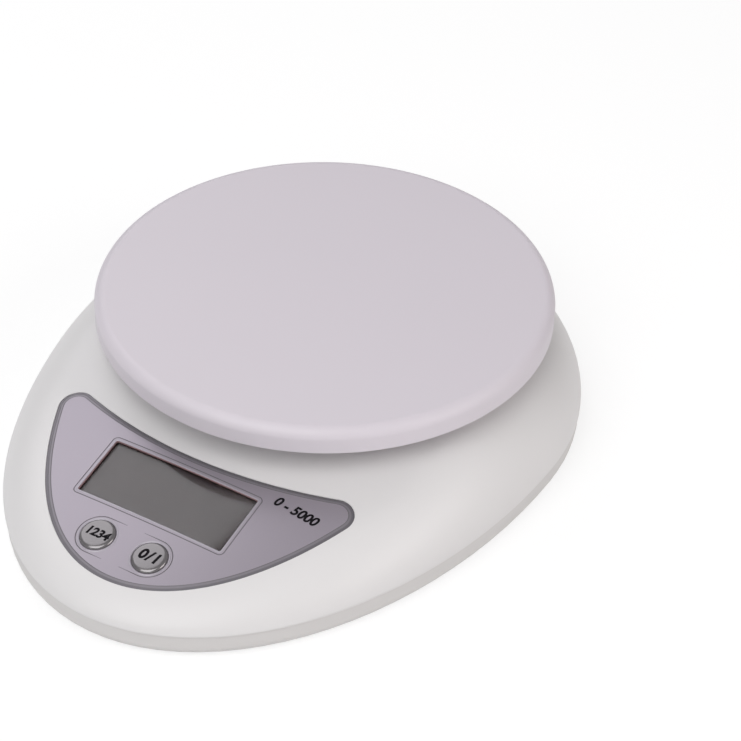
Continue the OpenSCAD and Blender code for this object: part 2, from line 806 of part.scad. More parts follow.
module load_cell() {
    color("lightsteelblue") at_platform() translate([0, cell_offset, cell_z]) difference() {
        translate([-cell_end, -cell_side / 2, 0])
            cube([cell_length, cell_side, cell_side]);
        // Two crossing bores joined by a slot leave the thin bending webs
        for (s = [-1, 1]) translate([s * web_bore_offset, cell_side, cell_side / 2])
            rotate([90, 0, 0]) cylinder(r = web_bore_radius, h = 2 * cell_side);
        translate([-web_bore_offset, -cell_side, (cell_side - web_slot) / 2])
            cube([2 * web_bore_offset, 2 * cell_side, web_slot]);
        for (x = cell_holes) {
            translate([x, 0, cell_side - thread_depth - hole_spare])
                cylinder(r = cell_screw_radius, h = thread_depth + hole_spare + cut);
            translate([-x, 0, -cut])
                cylinder(r = cell_screw_radius, h = cut + thread_depth + hole_spare);
        }
    }
}

module gauge_seals() {
    color("snow") at_platform() for (z = [cell_top, cell_z - seal_thickness])
        translate([0, cell_offset, z])
            rounded_box(seal_length, cell_side - 2 * seal_margin, seal_thickness, seal_corner);
}

module base_screws() {
    color("silver") at_platform() for (x = cell_holes)
        translate([-x, cell_offset, floor_z + cell_head_sink])
            screw(cell_screw_radius, cell_head_radius, cell_head_height,
                cell_z - floor_z - cell_head_sink + thread_depth);
}

module overload_stop() {
    color("dimgray") at_platform() translate([cell_mid_x, cell_offset, root_z + play])
        cylinder(r = cell_screw_radius - running_gap, h = cell_z - stop_gap - root_z - play);
}

module front_panel() {
    color("lightslategray") at_panel() difference() {
        intersection() {
            translate([0, 0, -through]) linear_extrude(2 * through) panel_outline(play / 2);
            bend_core(panel_proud);
        }
        bend_core(panel_floor);
        at_window(board_top)
            rounded_box(window_width, window_height, through, window_corner);
        for (x = button_x) translate([x, -button_drop, board_top])
            cylinder(r = panel_hole_radius, h = through);
    }
}

module display_window() {
    color("whitesmoke", 0.4) at_panel() difference() {
        intersection() {
            at_window(-through)
                rounded_box(window_width + 2 * pane_margin, window_height + 2 * pane_margin,
                    2 * through, pane_corner - play / 2);
            bend_core(panel_floor - film);
        }
        bend_core(pane_seat);
    }
}

module display_glass() {
    // The upper sheet is longer, and its bare ledge meets the contact strip
    color("darkolivegreen") at_panel() at_window(display_base) {
        translate([-display_width / 2, -display_height / 2, display_thickness / 2])
            cube([display_width, display_height, display_thickness / 2]);
        translate([-display_width / 2, -display_height / 2 + ledge_step, 0])
            cube([display_width, display_height - ledge_step, display_thickness]);
    }
}

module frame_block(width, depth, low, high) {
    translate([-width / 2, -depth / 2, low]) cube([width, depth, high - low]);
}
module display_frame() {
    inner = [display_width + play, display_height + play];
    color("gray") at_panel() at_window(board_top) difference() {
        frame_block(inner[0] + 2 * frame_wall, inner[1] + 2 * frame_wall,
            0, frame_top - board_top);
        frame_block(inner[0], inner[1], strip_height, through);
        frame_block(display_width - 2 * frame_ledge, display_height - 2 * frame_ledge,
            -cut, through);
    }
}

module contact_strip() {
    color("pink") at_panel() at_window(board_top)
        translate([strip_inset - display_width / 2,
            -display_height / 2 + frame_ledge + play, 0])
            cube([display_width - 2 * strip_inset, ledge_step - frame_ledge - 2 * play,
                strip_height + display_thickness / 2]);
}

module circuit_board() {
    side = board_width / 2;
    nose = board_nose_width / 2;
    neck_v = board_step_v - board_chamfer;
    color("darkgreen") at_panel() difference() {
        translate([0, 0, board_base]) linear_extrude(board_thickness) polygon([
            [-side, board_rear_v], [-side, board_step_v], [-nose, neck_v],
            [-nose, board_front_v], [nose, board_front_v], [nose, neck_v],
            [side, board_step_v], [side, board_rear_v]]);
        for (v = board_screw_v, s = [-1, 1])
            translate([s * board_screw_u, v, board_base - cut])
                cylinder(r = board_thread_radius + play, h = board_thickness + 2 * cut);
    }
}

// A box that hangs from the board with one corner at a given place
module chip(place, length, width, height) {
    translate([place[0], place[1], -height]) cube([length, width, height]);
}
module board_chips() {
    color("black") at_panel() translate([0, 0, board_base]) {
        translate([chip_places[0][0], chip_places[0][1], -chip_height / 2])
            cylinder(r = controller_radius, h = chip_height / 2);
        chip(chip_places[1], converter_length, converter_width, chip_height / 2);
        chip(chip_places[2], crystal_length, crystal_width, 0.8 * chip_height);
        for (p = capacitor_places) translate([p[0], p[1], -chip_height])
            cylinder(r = capacitor_radius, h = chip_height);
    }
}

module board_screws() {
    color("silver") at_panel() for (v = board_screw_v, s = [-1, 1])
        translate([s * board_screw_u, v, board_base])
            screw(board_thread_radius, board_head_radius, board_head_height,
                board_thickness + board_screw_bite);
}

module button_cap() {
    rotate_extrude() {
        translate([0, flange_base]) square([flange_radius, flange_thickness]);
        translate([0, flange_base])
            square([button_radius, button_proud - cap_edge - flange_base]);
        translate([0, flange_base])
            square([button_radius - cap_edge, button_proud - flange_base]);
        intersection() {
            translate([button_radius - cap_edge, button_proud - cap_edge])
                circle(r = cap_edge);
            translate([0, flange_base]) square([button_radius, through]);
        }
    }
}
module unit_button() {
    color("silver") at_panel() translate([button_x[0], -button_drop, 0]) button_cap();
}
module power_button() {
    color("silver") at_panel() translate([button_x[1], -button_drop, 0]) button_cap();
}

module switch_body() {
    difference() {
        translate([-switch_side / 2, -switch_side / 2, board_top])
            cube([switch_side, switch_side, switch_top - board_top]);
        translate([0, 0, switch_top - plunger_depth - button_travel - plunger_room])
            cylinder(r = plunger_radius + running_gap, h = through);
    }
}
module unit_switch() {
    color("darkslategray") at_panel() translate([button_x[0], -button_drop, 0]) switch_body();
}
module power_switch() {
    color("darkslategray") at_panel() translate([button_x[1], -button_drop, 0]) switch_body();
}
module switch_plunger() {
    translate([0, 0, switch_top - plunger_depth])
        cylinder(r = plunger_radius, h = flange_base - switch_top + plunger_depth);
}
module unit_plunger() {
    color("black") at_panel() translate([button_x[0], -button_drop, 0]) switch_plunger();
}
module power_plunger() {
    color("black") at_panel() translate([button_x[1], -button_drop, 0]) switch_plunger();
}

// Each AA cell stands with its nub against a plate and a spring behind it
module battery_cells() {
    color("goldenrod") at_platform() for (row = aa_rows) translate([0, row[0], aa_z])
        rotate([0, 90 * row[1], 0])
            translate([0, 0, bay_length / 2 - plate_thickness - aa_length]) {
                cylinder(r = aa_radius, h = aa_length - nub_length);
                cylinder(r = nub_radius, h = aa_length);
            }
}

// Points and triangles of a tube with six or eight sides along a path
function unit(v) = v / norm(v);
function along(path, i) = unit(path[min(i + 1, len(path) - 1)] - path[max(i - 1, 0)]);
function tube_ring(path, i, r, sides, up) =
    let (d = along(path, i), a = unit(cross(d, up)), b = cross(a, d))
    [for (k = [0:sides - 1]) let (q = 360 * k / sides)
        path[i] + r * (a * cos(q) + b * sin(q))];
module tube(path, r, sides, up) {
    last = len(path) - 1;
    polyhedron(
        points = [for (i = [0:last]) each tube_ring(path, i, r, sides, up)],
        faces = concat(
            [for (i = [0:last - 1])
                each ring_faces(i * sides, (i + 1) * sides, sides, false)],
            [[for (k = [0:sides - 1]) k],
             [for (k = [sides - 1:-1:0]) last * sides + k]]),
        convexity = 8);
}

// Conical spring along +Z: a ring of wire on the plate that climbs and narrows
spring_wire = 0.4;
spring_turns = 4;
spring_wide = 5.4;
spring_narrow = 3.2;
spring_ring_steps = 12;
function spring_path() = [for (i = [0:spring_turns * spring_ring_steps])
    let (s = i / (spring_turns * spring_ring_steps),
         q = 360 * i / spring_ring_steps,
         r = spring_wide + (spring_narrow - spring_wide) * s)
    [r * cos(q), r * sin(q), spring_wire + s * (spring_length - 2 * spring_wire)]];
spring_gap = norm([(spring_wide - spring_narrow) / spring_turns,
    (spring_length - 2 * spring_wire) / spring_turns]) - 2 * spring_wire;
echo(least_gap_between_spring_turns = spring_gap);

module battery_springs() {
    color("silver") at_platform() for (row = aa_rows) translate([0, row[0], aa_z])
        rotate([0, 90 * row[1], 0])
            translate([0, 0, plate_thickness - bay_length / 2])
                tube(spring_path(), spring_wire, 6, [0, 0, 1]);
}

module contact_plate(side, low_y, high_y) {
    translate([side * (bay_length / 2 - plate_thickness / 2) - plate_thickness / 2,
        low_y - contact_side / 2, aa_z - contact_side / 2])
        cube([plate_thickness, high_y - low_y + contact_side, contact_side]);
}
module bridge_contact() {
    color("lightgray") at_platform() contact_plate(-1, aa_rows[0][0], aa_rows[1][0]);
}
module lead_contacts() {
    color("lightgray") at_platform() for (row = aa_rows) {
        contact_plate(1, row[0], row[0]);
        translate([bay_length / 2 - plate_thickness, row[0] - tail_width / 2, tail_z])
            cube([plate_thickness + bay_wall + tail_reach_out, tail_width, plate_thickness]);
    }
}

// The door turns about the lower front edge of its recess. Two hooks reach
// over the ledge in front, and a springy tongue catches the ledge behind.
module battery_door() {
    hook_base = ledge_top + hook_gap;
    color("whitesmoke") at_platform() difference() {
        union() {
            translate([-door_length / 2 + play, door_low_y, floor_z])
                cube([door_length - 2 * play, door_high_y - door_low_y, door_thickness]);
            for (s = [-1, 1]) translate([s * hook_x - hook_width / 2, 0, 0]) {
                translate([0, bay_reach + play, root_z])
                    cube([hook_width, hook_wall, hook_base + hook_rise - root_z]);
                translate([0, bay_reach - door_ledge, hook_base])
                    cube([hook_width, door_ledge + play + hook_wall, hook_rise]);
            }
        }
        translate([-latch_width / 2 - play, door_high_y - latch_depth, floor_z - cut])
            cube([latch_width + 2 * play, latch_depth + cut, door_thickness + 2 * cut]);
        for (k = [0:groove_count - 1])
            translate([-groove_length / 2, door_low_y + groove_margin + groove_pitch * k,
                floor_z - cut])
                cube([groove_length, groove_width, cut + groove_depth]);
    }
}

module door_latch() {
    hook_base = ledge_top + hook_gap / 2;
    wall_y = bay_reach + bay_width - play - latch_wall;
    color("whitesmoke") at_platform() translate([-latch_width / 2, 0, 0]) {
        translate([0, door_high_y - latch_depth, floor_z])
            cube([latch_width, latch_depth, door_thickness]);
        translate([0, wall_y, root_z])
            cube([latch_width, latch_wall, hook_base + hook_rise - root_z]);
        translate([0, wall_y, hook_base])
            cube([latch_width, latch_wall + play + latch_reach, hook_rise]);
    }
}

// Smooth path through a few chosen points, with a set number of steps a span
function blend_point(a, b, c, d, s) = 0.5 * (2 * b + (c - a) * s
    + (2 * a - 5 * b + 4 * c - d) * s * s + (3 * b - a - 3 * c + d) * s * s * s);
function smooth_path(p, steps) = let (n = len(p) - 1) concat(
    [for (i = [0:n - 1]) for (k = [0:steps - 1])
        blend_point(p[max(i - 1, 0)], p[i], p[i + 1], p[min(i + 2, n)], k / steps)],
    [p[n]]);

cable_radius = 1.1;
lead_radius = 0.65;
solder_gap = 0.05;
// The cable leaves the upper seal, drops off the fixed end and runs forward
cable_z = cell_top + cable_radius + 0.3;
cable_route = [
    [-seal_length / 2 - solder_gap, cell_offset, cable_z],
    [-18, cell_offset, cable_z],
    [-32, cell_offset, cable_z],
    [-42, cell_offset - 1, cable_z - 1],
    [-48, cell_offset - 8, 15],
    [-48, -24, 9],
    [-42, -42, 7],
    [-32, -58, 8],
    panel_point(-24, 11, board_base - 8),
    panel_point(-24, 11, board_base - 3),
    panel_point(-24, 11, board_base - solder_gap)];
module load_cell_cable() {
    color("gainsboro") at_platform()
        tube(smooth_path(cable_route, 4), cable_radius, 8, [0.3, 0.9, 0.3]);
}

// Leads from the two solder tails round the bay and forward to the board
function lead_route(row, lane) = [
    [bay_length / 2 + bay_wall + 1.4, row[0], tail_z - lead_radius - solder_gap],
    [bay_length / 2 + bay_wall + 3.4, row[0], tail_z - lead_radius - 0.3],
    [bay_length / 2 + 9 + lane, row[0] - 7, 11],
    [44 + lane, 8 - lane, 7],
    [48 + lane, -14, 6],
    [44 + lane, -36, 6],
    [34 + lane, -56, 8],
    panel_point(21 + lane, 12, board_base - 8),
    panel_point(21 + lane, 12, board_base - 3),
    panel_point(21 + lane, 12, board_base - solder_gap)];
module battery_lead(i) {
    tube(smooth_path(lead_route(aa_rows[i], 3 * i), 3), lead_radius, 8, [0.3, 0.9, 0.3]);
}
module positive_lead() {
    color("firebrick") at_platform() battery_lead(0);
}
module negative_lead() {
    color("black") at_platform() battery_lead(1);
}

upper_housing();
lower_housing();
rubber_feet();
housing_screws();
weighing_platform();
platform_carrier();
platform_screws();
carrier_screws();
top_spacer();
load_cell();
gauge_seals();
base_spacer();
base_screws();
overload_stop();
front_panel();
display_window();
display_glass();
display_frame();
contact_strip();
circuit_board();
board_chips();
board_screws();
unit_button();
power_button();
unit_switch();
power_switch();
unit_plunger();
power_plunger();
battery_cells();
battery_springs();
bridge_contact();
lead_contacts();
battery_door();
door_latch();
load_cell_cable();
positive_lead();
negative_lead();
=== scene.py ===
# %% [markdown]
# # Dressing a digital kitchen scale
#
# A CAD program made this scale as exact but plain solids. In this lesson each
# part that shows gets the rounded edges, the print and the surface that a
# photograph would show. The parts keep their places: the CAD model is a fixed
# frame, and every new piece is built around it, in metres.

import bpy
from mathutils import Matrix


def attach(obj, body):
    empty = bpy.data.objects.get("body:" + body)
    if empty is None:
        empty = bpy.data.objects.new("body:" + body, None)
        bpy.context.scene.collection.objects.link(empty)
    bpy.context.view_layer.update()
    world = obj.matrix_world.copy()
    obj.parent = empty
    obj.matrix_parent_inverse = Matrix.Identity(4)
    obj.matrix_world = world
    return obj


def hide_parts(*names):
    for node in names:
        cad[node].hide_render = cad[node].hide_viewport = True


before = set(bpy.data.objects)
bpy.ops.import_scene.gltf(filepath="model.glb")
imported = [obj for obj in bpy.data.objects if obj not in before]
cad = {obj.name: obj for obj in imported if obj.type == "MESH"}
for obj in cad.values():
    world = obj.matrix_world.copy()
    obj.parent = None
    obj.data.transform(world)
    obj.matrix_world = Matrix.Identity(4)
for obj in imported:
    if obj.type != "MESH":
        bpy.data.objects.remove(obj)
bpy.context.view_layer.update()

# %% Names used all through the lesson
from math import atan2, cos, hypot, pi, radians, sin, sqrt, tan

import bpy
from mathutils import Matrix, Vector

mm = 0.001

# %% [markdown]
# ## The camera
#
# The photograph was taken from the front right with a long lens. A camera can
# be placed by eye, but here its place, its turn and its lens were worked out
# from the photograph, so that the picture lines up with it. The turn is written
# as the directions that are right and up in the picture.

# %% Camera
camera_place = Vector((292.1, -449.45, 455.0)) * mm
focal_length = 102.81
lens = bpy.data.cameras.new("camera")
lens.sensor_width = 36
lens.lens = focal_length
lens.clip_start = 0.05
camera = bpy.data.objects.new("camera", lens)
bpy.context.scene.collection.objects.link(camera)
to_right = Vector((0.85728569, 0.5144788, 0.01930845))
to_top = Vector((-0.33345879, 0.52629297, 0.78218984))
to_back = to_right.cross(to_top)
camera.matrix_world = (Matrix.Translation(camera_place)
                       @ Matrix((to_right, to_top, to_back)).transposed().to_4x4())
bpy.context.scene.camera = camera
print("camera", [round(v, 3) for v in camera.location], "lens", round(lens.lens, 1), "mm")

# %% [markdown]
# ## A few habits that keep operators safe
#
# Blender's operators act on whatever is selected, and a loaded model comes in
# selected. So every step starts by deselecting everything. Faces and edges are
# then chosen in code, by where they lie or which way they look.

# %% Selecting
def clear():
    """Leave edit mode and deselect everything."""
    if bpy.context.mode != "OBJECT":
        bpy.ops.object.mode_set(mode="OBJECT")
    bpy.ops.object.select_all(action="DESELECT")


def pick(piece):
    """Select one object only, and make it the active one."""
    clear()
    piece.select_set(True)
    bpy.context.view_layer.objects.active = piece
    return piece


def named(name):
    """Name the object that an operator has just added."""
    piece = bpy.context.object
    piece.name = piece.data.name = name
    return piece


def choose(piece, test, kind="FACE"):
    """Open a piece in edit mode with only those faces, edges or points chosen that pass a test."""
    pick(piece)
    bpy.ops.object.mode_set(mode="EDIT")
    bpy.ops.mesh.select_mode(type=kind)
    bpy.ops.mesh.select_all(action="DESELECT")
    bpy.ops.object.mode_set(mode="OBJECT")
    mesh = piece.data
    for item in {"FACE": mesh.polygons, "EDGE": mesh.edges, "VERT": mesh.vertices}[kind]:
        item.select = test(item)
    bpy.ops.object.mode_set(mode="EDIT")


clear()
print("nothing is selected now:", len(bpy.context.selected_objects))

# %% Shaping helpers
def plate(name, outline, low, high):
    """A flat plate with that outline of (x, y) points, from one height to another."""
    clear()
    bpy.ops.mesh.primitive_circle_add(vertices=len(outline), radius=mm, fill_type="NGON")
    piece = named(name)
    for point, (x, y) in zip(piece.data.vertices, outline):
        point.co = (x, y, low)
    bpy.ops.object.mode_set(mode="EDIT")
    bpy.ops.mesh.select_all(action="SELECT")
    bpy.ops.mesh.extrude_region_move(TRANSFORM_OT_translate={"value": (0, 0, high - low)})
    bpy.ops.mesh.select_all(action="SELECT")
    bpy.ops.mesh.normals_make_consistent(inside=False)
    clear()
    return piece


def use(piece, kind, **settings):
    """Add a modifier, set it up and apply it."""
    pick(piece)
    bpy.ops.object.modifier_add(type=kind)
    modifier = piece.modifiers[-1]
    for key, value in settings.items():
        setattr(modifier, key, value)
    bpy.ops.object.modifier_apply(modifier=modifier.name)
    return piece


def cut_away(piece, *cutters):
    """Take the shape of other objects out of a piece, and delete them."""
    for cutter in cutters:
        use(piece, "BOOLEAN", operation="DIFFERENCE", solver="EXACT", object=cutter)
        pick(cutter)
        bpy.ops.object.delete()
    return piece


def smooth(piece, angle=35):
    """Shade a piece smooth, but for edges sharper than an angle; large faces set the shading."""
    pick(piece)
    bpy.ops.object.shade_smooth_by_angle(angle=radians(angle))
    return use(piece, "WEIGHTED_NORMAL", keep_sharp=True)


def soften(piece, width, steps=2, angle=35):
    """Round the sharp edges a little, then shade what is left smooth."""
    use(piece, "BEVEL", width=width, segments=steps, limit_method="ANGLE",
        angle_limit=radians(angle), harden_normals=False)
    return smooth(piece, angle)


def join(piece, *others):
    """Make several objects one."""
    pick(piece)
    for other in others:
        other.select_set(True)
    bpy.ops.object.join()
    return piece


print("helpers ready: plate, use, cut_away, smooth, soften, join")

# %% [markdown]
# ## Shared surface effects
#
# Moulded plastic is never one flat colour: the mould leaves a grain that only
# shows in the highlights, and the plastic is a little uneven in tone. Several
# materials need these effects, so each is a node group, built once and placed
# in every material with its own values. Object coordinates keep the pattern at
# its real size, since one unit is one metre.

# %% Node group: moulded grain
def new_group(name, inputs, outputs):
    """An empty node group with its sockets, and the nodes that stand for its inputs and outputs."""
    group = bpy.data.node_groups.new(name, "ShaderNodeTree")
    for label, value in inputs.items():
        socket = group.interface.new_socket(name=label, in_out="INPUT",
                                            socket_type="NodeSocketFloat")
        socket.default_value = value
    for label, kind in outputs.items():
        group.interface.new_socket(name=label, in_out="OUTPUT", socket_type="NodeSocket" + kind)
    return (group, group.nodes.new("NodeGroupInput"), group.nodes.new("NodeGroupOutput"))


grain, taken, given = new_group(
    "moulded grain", {"Grain scale": 2500, "Grain height": 4e-6, "Patch scale": 35},
    {"Patches": "Float", "Grain": "Float", "Normal": "Vector"})
place = grain.nodes.new("ShaderNodeTexCoord")
fine = grain.nodes.new("ShaderNodeTexNoise")
fine.inputs["Detail"].default_value = 3
wide = grain.nodes.new("ShaderNodeTexNoise")
wide.inputs["Detail"].default_value = 4
bump = grain.nodes.new("ShaderNodeBump")
for noise, scale in ((fine, "Grain scale"), (wide, "Patch scale")):
    grain.links.new(place.outputs["Object"], noise.inputs["Vector"])
    grain.links.new(taken.outputs[scale], noise.inputs["Scale"])
grain.links.new(fine.outputs["Fac"], bump.inputs["Height"])
grain.links.new(taken.outputs["Grain height"], bump.inputs["Distance"])
grain.links.new(wide.outputs["Fac"], given.inputs["Patches"])
grain.links.new(fine.outputs["Fac"], given.inputs["Grain"])
grain.links.new(bump.outputs["Normal"], given.inputs["Normal"])
print("node group", grain.name, "with", len(grain.nodes), "nodes")

# %% Node group: drawn lines
drawn, taken, given = new_group(
    "drawn lines", {"Along": 60, "Across": 4000, "Depth": 3e-6},
    {"Streaks": "Float", "Normal": "Vector"})
place = drawn.nodes.new("ShaderNodeTexCoord")
stretch = drawn.nodes.new("ShaderNodeCombineXYZ")
scaled = drawn.nodes.new("ShaderNodeVectorMath")
scaled.operation = "MULTIPLY"
streak = drawn.nodes.new("ShaderNodeTexNoise")
streak.inputs["Scale"].default_value = 1
bump = drawn.nodes.new("ShaderNodeBump")
drawn.links.new(taken.outputs["Along"], stretch.inputs["X"])
drawn.links.new(taken.outputs["Across"], stretch.inputs["Y"])
drawn.links.new(taken.outputs["Across"], stretch.inputs["Z"])
drawn.links.new(place.outputs["Object"], scaled.inputs[0])
drawn.links.new(stretch.outputs["Vector"], scaled.inputs[1])
drawn.links.new(scaled.outputs["Vector"], streak.inputs["Vector"])
drawn.links.new(streak.outputs["Fac"], bump.inputs["Height"])
drawn.links.new(taken.outputs["Depth"], bump.inputs["Distance"])
drawn.links.new(streak.outputs["Fac"], given.inputs["Streaks"])
drawn.links.new(bump.outputs["Normal"], given.inputs["Normal"])
print("node group", drawn.name, "with", len(drawn.nodes), "nodes")

# %% [markdown]
# ## Finishes
#
# Most of the scale is injection-moulded plastic, and the hardware inside is
# drawn or plated metal. Both recipes are the same in kind: a group varies the
# colour and the roughness a little, and bends the light with a faint relief.
# What is the same all over stays a plain number on the shader itself.

# %% Recipes for plastic and metal
def blank(name):
    """A new material with its nodes and its main shader."""
    material = bpy.data.materials.new(name)
    material.use_nodes = True
    return material, material.node_tree.nodes, material.node_tree.links


def shades(colour, spread):
    """The darker and the lighter end of a colour, for a Mix node."""
    return [tuple(min(1, c * k) for c in colour) + (1,) for k in (1 - spread, 1 + spread)]


def vary(material, colour, spread, roughness, swing, group, values, fac, rough):
    """Let a group's outputs vary the colour, the roughness and the relief of a material."""
    nodes, links = material.node_tree.nodes, material.node_tree.links
    shader = nodes["Principled BSDF"]
    effect = nodes.new("ShaderNodeGroup")
    effect.node_tree = group
    for key, value in values.items():
        effect.inputs[key].default_value = value
    tone = nodes.new("ShaderNodeMix")
    tone.data_type = "RGBA"
    tone.inputs["A"].default_value, tone.inputs["B"].default_value = shades(colour, spread)
    gloss = nodes.new("ShaderNodeMapRange")
    gloss.inputs["To Min"].default_value = roughness - swing
    gloss.inputs["To Max"].default_value = roughness + swing
    links.new(effect.outputs[fac], tone.inputs["Factor"])
    links.new(tone.outputs["Result"], shader.inputs["Base Color"])
    links.new(effect.outputs[rough], gloss.inputs["Value"])
    links.new(gloss.outputs["Result"], shader.inputs["Roughness"])
    links.new(effect.outputs["Normal"], shader.inputs["Normal"])
    return material


def plastic(name, colour, roughness, spread=0.03, swing=0.05, scale=2500, height=4e-6,
            patch=35, **sockets):
    """Moulded plastic with its grain, and any other sockets of the shader by name."""
    material, nodes, _ = blank(name)
    for key, value in sockets.items():
        nodes["Principled BSDF"].inputs[key.replace("_", " ")].default_value = value
    return vary(material, colour, spread, roughness, swing, grain,
                {"Grain scale": scale, "Grain height": height, "Patch scale": patch},
                "Patches", "Grain")


def metal(name, colour, roughness, spread=0.08, swing=0.08, along=60, across=4000, depth=3e-6):
    """Drawn or plated metal with its fine lines."""
    material, nodes, _ = blank(name)
    nodes["Principled BSDF"].inputs["Metallic"].default_value = 1
    return vary(material, colour, spread, roughness, swing, drawn,
                {"Along": along, "Across": across, "Depth": depth}, "Streaks", "Streaks")


print("recipes ready: plastic, metal")

# %% The finishes of the moulded parts
shell_white = plastic("shell white", (0.77, 0.757, 0.76), 0.42, spread=0.008,
                      scale=3500, height=3e-6, Specular_IOR_Level=0.4)
base_white = plastic("base white", (0.685, 0.668, 0.663), 0.5, spread=0.012, height=5e-6)
platform_white = plastic("platform white", (0.70, 0.655, 0.708), 0.48, spread=0.008,
                         scale=4500, height=3e-6, patch=22)
inner_white = plastic("inner plastic", (0.62, 0.62, 0.60), 0.55, spread=0.02)
# Dark frame plastic for the display frame; the same finish is also painted shade on the walls of the
# cover's window opening.
frame_dark_and_painted_shade = plastic("frame plastic and painted shade", (0.055, 0.055, 0.06), 0.5, spread=0.1)
foot_rubber = plastic("foot rubber", (0.035, 0.035, 0.038), 0.8, spread=0.15, height=1e-5)
seal_white = plastic("seal silicone", (0.72, 0.71, 0.68), 0.35, spread=0.05, height=2e-5,
                     scale=600)
strip_pink = plastic("contact strip", (0.60, 0.27, 0.27), 0.6, spread=0.06)
chip_black = plastic("chip black", (0.018, 0.018, 0.02), 0.45, spread=0.2)
switch_black = plastic("switch black", (0.02, 0.02, 0.022), 0.4, spread=0.2)
sheath_grey = plastic("cable sheath", (0.50, 0.50, 0.49), 0.5, spread=0.04)
sheath_red = plastic("lead sheath, red", (0.36, 0.012, 0.01), 0.4, spread=0.08)
sheath_black = plastic("lead sheath, black", (0.012, 0.012, 0.013), 0.4, spread=0.15)
print("plastics:", len(bpy.data.materials), "materials so far")

# %% The finishes of the metal parts
screw_steel = metal("screw steel", (0.56, 0.56, 0.55), 0.32)
spacer_steel = metal("spacer steel", (0.50, 0.50, 0.50), 0.38)
beam_metal = metal("beam aluminium", (0.66, 0.67, 0.68), 0.34, along=30, across=1500)
contact_metal = metal("contact nickel", (0.60, 0.58, 0.54), 0.26)
print("metals:", [m.name for m in (screw_steel, spacer_steel, beam_metal, contact_metal)])

# %% [markdown]
# ## The egg-shaped cover
#
# The upper housing is a thin moulded shell. Its outline is two half ellipses
# that meet at the widest place, and it rises over a rounded shoulder to a flat
# crown that a slope cuts off in front. No primitive has that form. So a flat
# wheel of rings is made by extruding a circle towards its middle, and then
# every point is lifted by the one rule that the CAD model follows too. That
# gives even strips of faces, which shade far smoother than the CAD triangles.

# %% The rule for the outline and the dome
half_width, nose, tail = 86.4 * mm, 133.292 * mm, 85.2 * mm
parting, wall = 9 * mm, 2 * mm
middle = (nose - tail) / 2
slope = radians(12)
crown_rise, crown_fall, nose_rise = 27 * mm, 6.2 * mm, 5.2 * mm
blend_reach, blend_drop = 3 * mm, 0.75 * mm
shoulder_side, shoulder_loss = 24, 14.5


def egg(t):
    """A point of the outline, seen from above, about the platform's centre."""
    return Vector((half_width * cos(t), (nose if sin(t) < 0 else tail) * sin(t)))


def roof(x, y):
    """Height of the dome above the parting line, before its shoulder is rounded off."""
    spine = crown_rise - (crown_fall * (y / tail) ** 2 if y > 0 else 0)
    front = nose_rise + tan(slope) * (y + nose)
    near = max(0, 1 - abs(spine - front) / blend_reach)
    return min(spine, front) - blend_drop * near ** 2 - crown_fall * (x / half_width) ** 2


def dome_point(t, inward, lift):
    """A point of the dome: 0 to 1 up the rounded shoulder, then on towards the middle."""
    edge = egg(t)
    width = (shoulder_side - shoulder_loss * max(0, -sin(t)) ** 2) * mm
    start = 1 - width / edge.length
    share = start + (1 - start) * cos(lift * pi / 2) if inward == 0 else start * (1 - inward)
    x, y = edge * share
    return Vector((x, y + middle, parting + roof(x, y) * sin(lift * pi / 2)))


print("top of the dome", round(dome_point(pi / 2, 1, 1).z / mm, 2), "mm")

# %% A wheel of rings
shoulder_rings, crown_rings, spokes = 20, 36, 256
rings = shoulder_rings + crown_rings
clear()
bpy.ops.mesh.primitive_circle_add(vertices=spokes, radius=1, fill_type="NOTHING")
cover = named("housing_cover")
bpy.ops.object.mode_set(mode="EDIT")
bpy.ops.mesh.select_all(action="SELECT")
for k in range(1, rings):
    bpy.ops.mesh.extrude_edges_move()
    shrink = (rings - k) / (rings - k + 1)
    bpy.ops.transform.resize(value=(shrink, shrink, 1), center_override=(0, 0, 0))
bpy.ops.mesh.extrude_edges_move()
bpy.ops.mesh.merge(type="CENTER")
clear()
print("wheel:", len(cover.data.vertices), "points in", rings, "rings")

# %% Lift the wheel to the dome
for point in cover.data.vertices:
    x, y, z = point.co
    k = rings * (1 - hypot(x, y))
    t = atan2(y, x) % (2 * pi)
    if k <= shoulder_rings:
        point.co = dome_point(t, 0, k / shoulder_rings)
    else:
        point.co = dome_point(t, (k - shoulder_rings) / crown_rings, 1)
choose(cover, lambda face: True)
bpy.ops.mesh.normals_make_consistent(inside=False)
clear()
use(cover, "SOLIDIFY", thickness=wall, offset=-1, use_even_offset=True)
print("the shell is", round(cover.dimensions.z / mm, 1), "mm high, top face looks up:",
      max(cover.data.polygons, key=lambda f: f.center.z).normal.z > 0)

# %% [markdown]
# ## The seam
#
# Where the two halves of the housing meet, both edges are broken. The upper
# chamfer faces the floor and stays dark, and the lower one faces the light, so
# that the seam reads as a dark line with a bright line under it.

# %% Break an edge that follows the outline
def outline_edges(piece, height, inset, reach=0.15 * mm):
    """Tests whether an edge lies at a height and runs along the outline, drawn in by an inset."""
    def test(edge):
        ends = [piece.data.vertices[i].co for i in edge.vertices]
        for x, y, z in ends:
            y -= middle
            long = nose if y < 0 else tail
            away = (hypot(x / half_width, y / long) - 1) * min(half_width, long)
            if abs(z - height) > 1e-5 or abs(away + inset) > reach:
                return False
        return True
    return test


choose(cover, outline_edges(cover, parting, 0), "EDGE")
bpy.ops.mesh.bevel(offset=0.32 * mm, segments=2, profile=0.5, affect="EDGES")
clear()
print("cover with a broken lower edge:", len(cover.data.polygons), "faces")

# %% [markdown]
# ## Outlines on the slope
#
# The panel, the window and the buttons lie on the slope, so they are drawn flat
# around the window's middle and laid on the slope at the end. The slope isn't
# flat: like the dome it falls away to both sides, so a flat piece is first cut
# into narrow strips and bent over a wide cylinder. The panel's outline is a
# half ellipse in front and a wide arc behind, with a small round at both tips.
# The round touches both curves: its centre is found by halving the range in
# which it must lie until nothing is left to gain.

